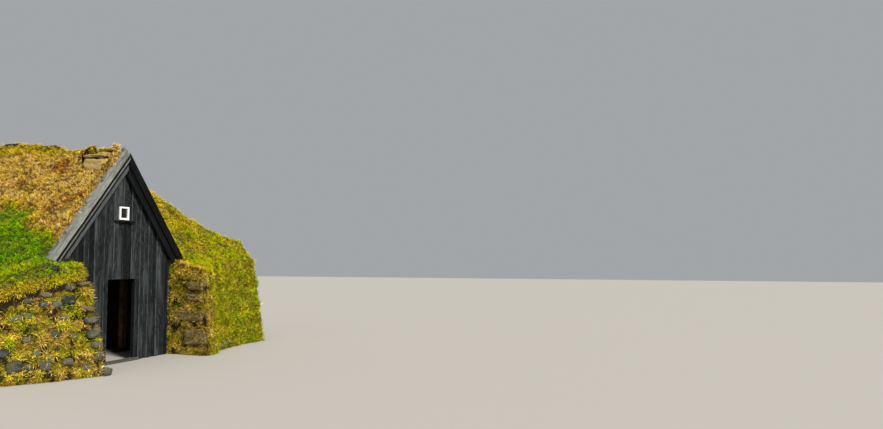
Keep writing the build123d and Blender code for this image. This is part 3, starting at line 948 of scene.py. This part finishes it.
# Depth of the back turf's top edge below the roof line, and a height that only the ridge is above
BACK_UNDER_ROOF = 0.195
RIDGE_ONLY = 3.5
# Front and rear of the bare patch, and the heights between which it begins and ends
PATCH_ENDS = (0.22, 0.72)
PATCH_FOOT, PATCH_TOP = (3.4, 3.6), (4.33, 4.42)
# Height at which the left slope turns from green to dry, at the front
GREEN_TOP = 2.5
# Rusty patches of the left slope: place and reach
RUST_PATCHES = (
    (Vector((-0.41, 1.33, 4.07)), 0.3), (Vector((-0.33, 0.99, 4.17)), 0.16),
    (Vector((-0.76, 0.54, 3.63)), 0.12), (Vector((-1.37, 0.42, 2.86)), 0.14),
    (Vector((-0.92, 0.26, 3.43)), 0.13), (Vector((-0.6, 1.1, 3.85)), 0.14),
)


def stone_top(p):
    """Height at which the wall ends and the turf on it begins."""
    if abs(p.x) < HALF_ROOM and p.y > ROOM_END:
        return BACK_STONE_TOP
    return STONE_TOP + (STONE_FALL * (RETURN + p.x) if p.x < 0 else 0)


def right_front(p):
    """Whether a place lies on the long front face right of the boards."""
    return p.x > RETURN + 0.2 and p.y < 0.5


def outward(p, n, wall):
    """Way in which an open place of the earth may move, level along the seams between
    pieces, or nothing for a place in a seam, under boards or indoors."""
    side = side_of(p.x)
    way = n.copy()
    facing_seam = n.z > -0.25 if wall else n.z < 0.25
    if p.z < SEAM_REACH or abs(p.z - stone_top(p)) < SEAM_REACH and facing_seam:
        way.z = 0
    if abs(p.x) < SEAM_REACH and p.z > STONE_TOP or abs(p.x - PARTY_LINE) < SEAM_REACH:
        way.x = 0
    if p.y > ROOM_END - 0.05 and abs(abs(p.x) - HALF_ROOM) < SEAM_REACH:
        way.x = 0
    if way.length < 0.35:
        return Vector()
    way.normalize()
    in_room = -0.02 < p.y < ROOM_END + INSIDE and abs(p.x) < HALF_ROOM + INSIDE
    in_gable = abs(p.y - ROOM_END) < INSIDE and abs(p.x) < HALF_ROOM + 0.05
    under_cap = -0.3 < p.y < CAP_BACK[side] + 0.02 and abs(p.x) < EAVE[side] + 0.1
    under_cap = under_cap and STONE_TOP < p.z < roof_z(side, p.x) + 0.03
    if (
        way.z < -0.45
        or in_room and way.x * side < -0.5
        or in_gable and way.y < -0.5
        or under_cap and way.y < -0.4
    ):
        return Vector()
    return way


def near_cap(p):
    """0 at a cap board's back edge and under it, 1 well behind it."""
    side = side_of(p.x)
    if abs(p.x) > EAVE[side] + 0.15 or p.z < roof_z(side, p.x) - 0.4:
        return 1.0
    return blend(p.y, CAP_BACK[side], CAP_BACK[side] + 0.22)


def bare_patch(p, reach=0.05):
    """1 in the bare patch beside the peak and 0 well outside it."""
    low, high = SLABS
    front, rear = PATCH_ENDS
    x = blend(p.x, low.x - reach, low.x) * (1 - blend(p.x, high.x, high.x + reach))
    y = blend(p.y, front - reach, front) * (1 - blend(p.y, rear, rear + reach))
    return x * y * blend(p.z, *PATCH_FOOT) * (1 - blend(p.z, *PATCH_TOP))


def patched(p):
    """Height of a place of the left slope after the bare patch's ends have filled with turf
    and the turf below it has slumped."""
    low, high = SLABS
    front, rear = PATCH_ENDS
    in_pit = low.x - 0.04 < p.x < high.x + 0.03 and low.y - 0.02 < p.y < high.y + 0.04
    filled = max(1 - blend(p.y, front, front + 0.1), blend(p.y, rear - 0.12, rear))
    if in_pit and p.z > PATCH_FOOT[0] and filled:
        return max(p.z, roof_z(-1, p.x) + 0.3 * filled)
    lip = blend(p.x, low.x - 0.3, low.x) * (1 - blend(p.x, low.x + 0.04, low.x + 0.1))
    lip *= blend(p.y, front - 0.15, front) * (1 - blend(p.y, rear, rear + 0.15))
    return p.z - 0.05 * lip * blend(p.z, *PATCH_FOOT)


def clear_of_stones(p):
    """0 on a stone or block of the walls, 1 clear of all of them."""
    clear = 1.0
    if p.y < -0.25:
        stones = NOSE_STONES + CAP_FOOT_STONES if p.x < 0 else FRONT_STONES
        for x, z, width, height, _ in stones:
            away = math.hypot((p.x - x) / width, (p.z - z) / height)
            clear = min(clear, blend(away, 0.22, 0.42))
    if p.y < 0 and 0 < p.x < RETURN + 0.2:
        for y, z, long, height in RETURN_BLOCKS:
            away = max(abs(p.y - y) / long, abs(p.z - z) / height)
            clear = min(clear, blend(away, 0.42, 0.55))
    return clear


def dryness(p, wall):
    """How dry the grass is at a place, 0 green to 1 straw, and how rusty. The two sides'
    colours run into each other over the back."""
    reach = 0.05 + 1.2 * blend(p.y, ROOM_END - 0.3, ROOM_END + 0.8)
    share = blend(p.x, -reach, reach)
    left, right = side_dryness(p, wall, -1), side_dryness(p, wall, 1)
    return tuple(a + (b - a) * share for a, b in zip(left, right))


def side_dryness(p, wall, side):
    """Dryness and rust that a place would have on one side of the house. The left slope is
    green at its foot and dry above, and the rest is mixed."""
    wide = noise.noise(p * 0.9 + Vector((4, 0, 0)))
    middle = noise.noise(p * 2.6)
    fine = noise.noise(p * 7.0 + Vector((0, 9, 0)))
    rust = 0.7 * blend(noise.noise(p * 2.3 + Vector((0, 0, 5))), 0.35, 0.6)
    on_return = p.x < RETURN + 0.12 and p.y < -0.1
    if wall and p.x < 1.8:
        dry = (0.72 if on_return and p.x > 0 else 0.6) + 0.25 * middle + 0.4 * fine
        return dry, 0.5 * rust
    if side > 0:
        dry = 0.4 + 0.24 * blend(p.z, 2.4, 4.3) + 0.16 * middle + 0.12 * fine
        return dry + 0.35 * on_return, 0.6 * rust
    edge = GREEN_TOP + 0.5 * blend(p.y, 0.0, 1.4) + 0.08 * max(0.0, p.y - 1.4)
    upper = blend(p.z + 0.45 * wide + 0.25 * middle, edge - 0.22, edge + 0.3)
    low = 0.08 + 0.34 * blend(-p.x, 1.9, 2.5) * (0.75 + wide)
    low += 0.3 * blend(p.z, 1.85, 2.05) * blend(-p.x, 2.0, 2.3) * (1 - blend(p.z, 2.3, 2.6))
    low = max(low, 0.55 * (1 - blend(p.z - stone_top(p), 0.12, 0.5)))
    crest = (1 - blend(-p.x, 0.0, 0.3)) * blend(p.y, 0.2, 0.6)
    dry = low + (0.8 - 0.27 * crest - low) * upper + 0.1 * fine + 0.1 * middle
    for place, reach in RUST_PATCHES:
        rust = max(rust, 1 - blend((p - place).length + 0.12 * fine, 0.6 * reach, reach))
    return dry, rust * upper


def ground_offset(p, sizes, wall):
    """How far the ground moves out at a place: lumps, and courses in the walls."""
    lump = noise.noise(p * 1.3) * sizes.broad
    lump += noise.noise(p * 4.1 + Vector((7, 0, 0))) * sizes.middle
    lump += noise.noise(p * 11.0 + Vector((0, 5, 0))) * sizes.small
    if wall:
        phase = 2 * math.pi * p.z / sizes.course + 2.6 * noise.noise(p * 0.8)
        share = blend(abs(p.z - stone_top(p)), 0.05, 0.25) * (0.35 if right_front(p) else 1.0)
        lump += math.sin(phase) * sizes.bulge * share
    on_return = abs(p.x) < RETURN + 0.13 and p.y < 0.05 and p.z < STONE_TOP + 0.3
    return 0.4 * lump - 0.02 if on_return else lump - sizes.room


def growth(p, n, wall):
    """Share of tufts that grow at a place, and how tall they are."""
    clump = 0.5 + noise.noise(p * 3.2 + Vector((0, 0, 3))) + 0.5 * noise.noise(p * 8.0)
    gap = noise.noise(p * 7.0 + Vector((2, 0, 0))) + 0.6 * noise.noise(p * 14.0)
    if wall:
        share = 0.15 + 0.85 * blend(gap, -0.25, 0.1)
    else:
        share = 0.6 + 0.4 * blend(clump, 0.1, 0.5)
    if wall and right_front(p):
        share = max(share, 0.8)
    if wall and p.x < 0 and p.y < 1.0:
        share *= blend(stone_top(p) - p.z, 0.02, 0.13)
    if p.x > PARTY_LINE - 0.06 and n.x > 0.6:
        share *= 0.3
    return share * clear_of_stones(p), 0.75 + 0.5 * min(max(clump, 0.0), 1.0)


def earth_piece(name, finish, slot, *nodes):
    """Uneven, closed piece that stands for some earth nodes. Its attributes say how much
    grows at a place and how tall, and how dry and rusty it is."""
    sizes = bpy.context.scene.turf_house_earth
    wall = finish == "earth"
    bm = bmesh.new()
    for node in nodes:
        bm.from_mesh(frame["nodes"][node].data)
    bmesh.ops.remove_doubles(bm, verts=bm.verts, dist=0.0001)
    for vert in bm.verts:
        p = vert.co
        if abs(p.x) < 0.0005 and p.z > RIDGE_ONLY:
            p.x += 0.02 if nodes[0].endswith("left") else -0.02
        if wall and abs(p.z - stone_top(p)) < 0.002:
            p.z += LAP
        if name == "turf_back" and p.y > ROOM_END + 0.1:
            below = roof_z(side_of(p.x), p.x) - p.z
            if abs(below - BACK_UNDER_ROOF) < 0.005:
                p.z += 2.5 * LAP
                p.y -= 0.7 * LAP * (p.y > ROOM_END + 0.4)
        if nodes[0].startswith("back") and abs(abs(p.x) - HALF_ROOM) < 0.002:
            p.x += math.copysign(LAP, p.x)
    mesh = modified(bm, name, "REMESH", {"mode": "VOXEL", "voxel_size": sizes.grid}, {})
    normals = [n.vector.copy() for n in mesh.vertex_normals]
    bm = bmesh.new()
    bm.from_mesh(mesh)
    grow, tall, dry, rust = (bm.verts.layers.float.new(k) for k in ("grow", "tall", "dry", "rust"))
    hidden = set()
    for vert, n in zip(bm.verts, normals):
        p = vert.co.copy()
        way = outward(p, n, wall)
        vert[dry], vert[rust] = dryness(p, wall)
        if not way.length:
            hidden.add(vert)
            continue
        shown, edge = 1 - bare_patch(p), near_cap(p)
        share, vert[tall] = growth(p, n, wall)
        vert[grow] = shown * share
        vert.co += way * ground_offset(p, sizes, wall) * edge * shown
        vert.co.z -= 0.055 * (1 - edge) * (way.z > 0.2)
        if name == "turf_left":
            vert.co.z += patched(p) - p.z
        vert.co.z = max(vert.co.z, 0.0)
    verts = [v for v in bm.verts if v in hidden]
    edges = [e for e in bm.edges if hidden.issuperset(e.verts)]
    bmesh.ops.dissolve_limit(bm, angle_limit=math.radians(4), verts=verts, edges=edges)
    bmesh.ops.triangulate(bm, faces=[f for f in bm.faces if len(f.verts) > 4])
    bpy.data.meshes.remove(mesh)
    finish_piece(mesh_of(bm, name), finish, slot, *nodes)


class HOUSE_OT_turf(bpy.types.Operator):
    """Turf over the roof, the wall tops and the back"""

    bl_idname = "turf_house.turf"
    bl_label = "Turf"

    def execute(self, context):
        earth_piece("turf_left", "sod", "turf_roof", "roof_turf_left", "left_turf")
        earth_piece("turf_right", "sod", "turf_roof", "roof_turf_right", "right_turf")
        earth_piece("turf_back", "sod", "turf_green", "back_turf")
        return {"FINISHED"}


class HOUSE_OT_walls(bpy.types.Operator):
    """Walls of stacked turf that carry the stones"""

    bl_idname = "turf_house.walls"
    bl_label = "Walls"

    def execute(self, context):
        for node in ("left_wall", "right_wall", "back_wall"):
            earth_piece(node + "_turf", "earth", "turf_wall", node)
        return {"FINISHED"}


# Grass and scattered stones

# Foot of the left roof slope, where its rear half begins, where the right bank ends, where
# the walls' front part ends, and how far the back wall's outer face lies behind the room
SLOPE_FOOT, SLOPE_HALF, BANK_END, WALL_FRONT, BACK_FACE = -1.95, 3.2, 1.9, 0.4, 0.5


def tuft_mesh(seed, blades, droop):
    """One tuft of blades about 1 long, some bent and some straight, with "tip" 0 at the root
    and "blade" a tone for each."""
    rnd = random.Random(seed)
    bm = bmesh.new()
    tip = bm.verts.layers.float.new("tip")
    own = bm.verts.layers.float.new("blade")
    for k in range(blades):
        turn = 2 * math.pi * (k + rnd.uniform(-0.35, 0.35)) / blades
        out = Vector((math.cos(turn), math.sin(turn), 0))
        tall = rnd.uniform(0.55, 1.0)
        lean = rnd.uniform(0.15, 0.45) * droop
        root = out * rnd.uniform(0.02, 0.3)
        middle = root + out * lean * 0.45 + Vector((0, 0, 0.55 * tall))
        end = root + out * lean * 1.6 + Vector((0, 0, tall * (1.0 - 0.3 * droop)))
        half = Vector((-out.y, out.x, 0)) * rnd.uniform(0.03, 0.05)
        if k % 3 == 0:
            verts = [bm.verts.new(p) for p in (root, middle - half, end, middle + half)]
            rises = (0.0, 0.55, 1.0, 0.55)
            bm.faces.new((verts[0], verts[3], verts[1]))
            bm.faces.new((verts[1], verts[3], verts[2]))
        else:
            verts = [bm.verts.new(p) for p in (root - half, root + half, end)]
            rises = (0.1, 0.1, 1.0)
            bm.faces.new(verts)
        shade = rnd.random()
        for vert, rise in zip(verts, rises):
            vert[tip], vert[own] = rise, shade
    return mesh_of(bm, f"tuft_{seed}")


def pebble_mesh(seed):
    """One stone about 1 across."""
    bm = bmesh.new()
    rock(bm, Vector(), Vector((1.0, 0.75, 0.55)), turned(0, 0, 0), seed, 0.5, 0.35, 2)
    return mesh_of(bm, f"pebble_{seed}")


def scatter_tree(name, meshes, finish):
    """Geometry Nodes: tufts or stones on a surface, leaning with its slope and its drop.
    Also gives the collection of shapes that they are picked from."""
    kinds = bpy.data.collections.new(name)
    for mesh in meshes:
        kinds.objects.link(bpy.data.objects.new(mesh.name, mesh))
    tree = bpy.data.node_groups.new(name, "GeometryNodeTree")
    for label, kind in (
        ("Geometry", "Geometry"), ("Number per square metre", "Float"), ("Size", "Float"),
        ("Drop", "Float"), ("Seed", "Int"),
    ):
        tree.interface.new_socket(label, in_out="INPUT", socket_type="NodeSocket" + kind)
    tree.interface.new_socket("Geometry", in_out="OUTPUT", socket_type="NodeSocketGeometry")
    ground, number, width, drop, seed, _ = add(tree, "NodeGroupInput", out=None).outputs
    grow, tall = (
        add(tree, "GeometryNodeInputNamedAttribute", {"Name": label}, data_type="FLOAT")
        for label in ("grow", "tall")
    )
    density = add(tree, "ShaderNodeMath", [grow, number], operation="MULTIPLY")
    spots = {"Mesh": ground, "Density": density, "Seed": seed}
    points = add(tree, "GeometryNodeDistributePointsOnFaces", spots, out=None)
    normal = points.outputs["Normal"]
    steep = add(tree, "ShaderNodeSeparateXYZ", [normal], out=2)
    hang = add(tree, "ShaderNodeMath", [drop, -1.0], operation="MULTIPLY")
    rise = add(tree, "ShaderNodeMapRange", [steep, 0.05, 0.75, hang, 0.5])
    aim = add(tree, "ShaderNodeCombineXYZ", {2: rise})
    swing = {0: (-0.5, -0.5, -0.3), 1: (0.5, 0.5, 0.3), "Seed": 3}
    spread = add(tree, "FunctionNodeRandomValue", swing, data_type="FLOAT_VECTOR")
    for other in (normal, spread):
        aim = add(tree, "ShaderNodeVectorMath", [other, aim], operation="ADD")
    turn, vary, tone = (
        add(tree, "FunctionNodeRandomValue", {2: low, 3: high, "Seed": draw}, 1, data_type="FLOAT")
        for low, high, draw in ((0.0, 6.283, 5), (0.6, 1.35, 7), (0.0, 1.0, 9))
    )
    euler = add(tree, "ShaderNodeCombineXYZ", {2: turn})
    yaw = add(tree, "FunctionNodeEulerToRotation", [euler])
    aimed = {"Rotation": yaw, "Vector": aim}
    rotation = add(tree, "FunctionNodeAlignRotationToVector", aimed, axis="Z")
    size = add(tree, "ShaderNodeMath", [vary, width], operation="MULTIPLY")
    size = add(tree, "ShaderNodeMath", [size, tall], operation="MULTIPLY")
    own = {"Geometry": points.outputs[0], "Name": "tone", "Value": tone}
    toned = add(tree, "GeometryNodeStoreNamedAttribute", own, data_type="FLOAT", domain="POINT")
    several = {"Collection": kinds, "Separate Children": True, "Reset Children": True}
    picked = add(tree, "GeometryNodeCollectionInfo", several)
    stand = dict(Points=toned, Instance=picked, Rotation=rotation, Scale=size)
    stand["Pick Instance"] = True
    stood = add(tree, "GeometryNodeInstanceOnPoints", stand)
    real = add(tree, "GeometryNodeRealizeInstances", {"Geometry": stood})
    coat = {"Geometry": real, "Material": MATERIALS[finish]}
    painted = add(tree, "GeometryNodeSetMaterial", coat)
    add(tree, "NodeGroupOutput", [painted], out=None)
    return tree, kinds


def grow_on(name, ground, keep, tree, number, size, drop, seed, slot):
    """Piece with what a tree grows on the part of another piece that keep(place) picks."""
    bm = bmesh.new()
    bm.from_mesh(bpy.data.objects[ground].data)
    grow = bm.verts.layers.float["grow"]
    for vert in bm.verts:
        vert[grow] *= keep(vert.co)
    empty = [f for f in bm.faces if all(v[grow] < 0.01 for v in f.verts)]
    bmesh.ops.delete(bm, geom=empty, context="FACES")
    values = {"Number per square metre": number, "Size": size, "Drop": drop, "Seed": seed}
    inputs = {
        item.identifier: values[item.name]
        for item in tree.interface.items_tree
        if item.name in values
    }
    mesh = modified(bm, name, "NODES", {"node_group": tree}, inputs)
    for vert in mesh.vertices:
        vert.co.z = max(vert.co.z, 0.0)
    mesh.shade_smooth()
    finish_piece(mesh, None, slot)


def forget(kinds):
    """Removes the shapes that a tree picked from."""
    for made in list(kinds.objects):
        bpy.data.objects.remove(made)
    bpy.data.collections.remove(kinds)


class HOUSE_OT_grass(bpy.types.Operator):
    """Tufts of grass on the turf and the walls"""

    bl_idname = "turf_house.grass"
    bl_label = "Grass"

    def execute(self, context):
        look = context.scene.turf_house_grass
        tufts = [tuft_mesh(seed, look.blades, 0.8) for seed in range(5)]
        straws = [tuft_mesh(seed, look.blades, 1.3) for seed in range(5, 10)]
        roof, short = scatter_tree("roof_grass", tufts, "grass")
        wall, shaggy = scatter_tree("wall_grass", straws, "straw")
        # Piece, ground, share of the tufts, drop, slot and where it grows
        for seed, (name, ground, share, drop, slot, keep) in enumerate((
            ("grass_roof_left", "turf_left", 1.0, 0.35, "turf_roof",
             lambda p: p.x > SLOPE_FOOT and p.y < SLOPE_HALF),
            ("grass_roof_left_rear", "turf_left", 0.7, 0.35, "turf_roof",
             lambda p: p.x > SLOPE_FOOT and p.y >= SLOPE_HALF),
            ("grass_shoulder_left", "turf_left", 1.0, 0.35, "turf_green",
             lambda p: p.x <= SLOPE_FOOT),
            ("grass_roof_right", "turf_right", 0.6, 0.35, "turf_roof",
             lambda p: p.y > BANK_END),
            ("grass_bank_right", "turf_right", 1.0, 0.5, "turf_green",
             lambda p: p.y <= BANK_END),
            ("grass_back", "turf_back", 0.5, 0.4, "turf_green", lambda p: 1.0),
            ("grass_wall_left", "left_wall_turf", 1.5, 0.8, "turf_wall",
             lambda p: 1.0 if p.y < WALL_FRONT else 0.5),
            ("grass_wall_right", "right_wall_turf", 1.2, 0.7, "turf_wall",
             lambda p: 1.0 if p.y < WALL_FRONT else 0.6),
            ("grass_wall_back", "back_wall_turf", 0.6, 0.8, "turf_wall",
             lambda p: p.y > ROOM_END + BACK_FACE),
        )):
            on_wall = slot == "turf_wall"
            tree, size = (wall, look.wall_length) if on_wall else (roof, look.length)
            grow_on(name, ground, keep, tree, look.density * share, size, drop, seed, slot)
        forget(short)
        forget(shaggy)
        return {"FINISHED"}


class HOUSE_OT_wall_stones(bpy.types.Operator):
    """Stones in the walls beside and behind the house"""

    bl_idname = "turf_house.wall_stones"
    bl_label = "Wall stones"

    def execute(self, context):
        look = context.scene.turf_house_stones
        pebbles = [pebble_mesh(seed) for seed in range(6)]
        tree, kinds = scatter_tree("wall_stones", pebbles, "stone")
        for seed, (side, keep) in enumerate((
            ("left", lambda p: p.x < -3.0 or p.y > 1.0),
            ("back", lambda p: p.y > ROOM_END + BACK_FACE),
            ("right", lambda p: p.y > 5.5),
        )):
            ground = side + "_wall_turf"
            grow_on(
                "stones_" + side, ground, keep, tree, look.density, look.size, 0.0, seed, "pad_stone"
            )
        forget(kinds)
        return {"FINISHED"}


# Frame nodes that keep their shape

KEPT_FINISHES = {
    "timber": (
        "sill_left", "sill_right", "front_rail", "ridge_board", "collar_beams",
        "roof_boards_left", "roof_boards_right", "wall_plate_left", "wall_plate_right",
        "posts_left", "posts_right", "rafters_left", "rafters_right",
    ),
    "stone": ("pad_stones_left", "pad_stones_right"),
    "slab": ("roof_slabs",),
    "glass": ("window_pane",),
}


class HOUSE_OT_inside(bpy.types.Operator):
    """Finishes of the frame inside and the pane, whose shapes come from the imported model"""

    bl_idname = "turf_house.inside"
    bl_label = "Frame inside"

    def execute(self, context):
        for finish, nodes in KEPT_FINISHES.items():
            for node in nodes:
                mesh = frame["nodes"][node].data
                mesh.materials.clear()
                mesh.materials.append(MATERIALS[finish])
        return {"FINISHED"}


# Stage

CAMERA_PLACE = (-11.589, -11.140, 2.11)
CAMERA_HEADING = math.radians(20.0)
CAMERA_RISE = math.radians(3.457)
CAMERA_LENS = 29.35
SENSOR = 36.0
# Lamps: name, place, spread, strength and colour; both aim at the middle of the house
LIGHTS = (
    ("key", (-7.0, -13.0, 14.0), 14.0, 4.4, "FFF6E6"),
    ("fill", (-14.0, -2.0, 9.0), 60.0, 0.5, "EAF2FF"),
)
LIT_PLACE = Vector((0, 1.5, 2))
FLOOR_REACH, FLOOR_COLOUR = 60, "B6B4B0"
SKY_COLOUR, SKY_STRENGTH = "E8ECF0", 0.45


def aimed(name, data, place, way):
    """Lamp or camera at a place, looking along a way."""
    made = placed(name, data)
    made.location = place
    made.rotation_euler = way.to_track_quat("-Z", "Y").to_euler()
    return made


class HOUSE_OT_stage(bpy.types.Operator):
    """Pale floor, soft light and the camera at the photograph's angle"""

    bl_idname = "turf_house.stage"
    bl_label = "Stage"

    def execute(self, context):
        bm = bmesh.new()
        bmesh.ops.create_grid(bm, x_segments=1, y_segments=1, size=FLOOR_REACH)
        floor = placed("floor", mesh_of(bm, "floor"))
        pale = bpy.data.materials.new("studio_floor")
        pale.use_nodes = True
        shader = pale.node_tree.nodes["Principled BSDF"]
        shader.inputs["Base Color"].default_value = linear(FLOOR_COLOUR)
        shader.inputs["Roughness"].default_value = 0.9
        floor.data.materials.append(pale)

        world = bpy.data.worlds.new("studio")
        world.use_nodes = True
        sky = world.node_tree.nodes["Background"]
        sky.inputs["Color"].default_value = linear(SKY_COLOUR)
        sky.inputs["Strength"].default_value = SKY_STRENGTH
        context.scene.world = world
        context.scene.view_settings.view_transform = "Standard"

        for name, place, spread, strength, shade in LIGHTS:
            data = bpy.data.lights.new(name, "SUN")
            data.angle = math.radians(spread)
            data.energy = strength
            data.color = linear(shade)[:3]
            aimed(name, data, place, LIT_PLACE - Vector(place))

        data = bpy.data.cameras.new("camera")
        data.lens = CAMERA_LENS
        data.sensor_width = SENSOR
        data.clip_end = 200.0
        ahead = Vector((math.cos(CAMERA_HEADING), math.sin(CAMERA_HEADING), math.tan(CAMERA_RISE)))
        context.scene.camera = aimed("camera", data, CAMERA_PLACE, ahead)
        return {"FINISHED"}


# Panel and steps

STEPS = (
    HOUSE_OT_stage,
    HOUSE_OT_finishes,
    HOUSE_OT_front,
    HOUSE_OT_doorway,
    HOUSE_OT_window,
    HOUSE_OT_gable_edge,
    HOUSE_OT_turf,
    HOUSE_OT_walls,
    HOUSE_OT_stones,
    HOUSE_OT_grass,
    HOUSE_OT_wall_stones,
    HOUSE_OT_inside,
)
GROUPS = {
    "turf_house_finishes": FinishSettings,
    "turf_house_boards": BoardSettings,
    "turf_house_earth": EarthSettings,
    "turf_house_grass": GrassSettings,
    "turf_house_stones": StoneSettings,
}


class HOUSE_PT_panel(bpy.types.Panel):
    """Settings and steps of the turf house"""

    bl_idname = "HOUSE_PT_panel"
    bl_label = "Turf house"
    bl_space_type = "VIEW_3D"
    bl_region_type = "UI"
    bl_category = "Turf house"

    def draw(self, context):
        for place in GROUPS:
            group = getattr(context.scene, place)
            for name in group.__annotations__:
                self.layout.prop(group, name)
        for step in STEPS:
            self.layout.operator(step.bl_idname)


def register():
    for made in (*GROUPS.values(), *STEPS, HOUSE_PT_panel):
        bpy.utils.register_class(made)
    for place, group in GROUPS.items():
        setattr(bpy.types.Scene, place, bpy.props.PointerProperty(type=group))


def unregister():
    for place in GROUPS:
        delattr(bpy.types.Scene, place)
    for made in reversed((*GROUPS.values(), *STEPS, HOUSE_PT_panel)):
        bpy.utils.unregister_class(made)


def main():
    """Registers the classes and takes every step."""
    register()
    for step in STEPS:
        group, name = step.bl_idname.split(".")
        getattr(getattr(bpy.ops, group), name)()


if __name__ == "__main__":
    main()
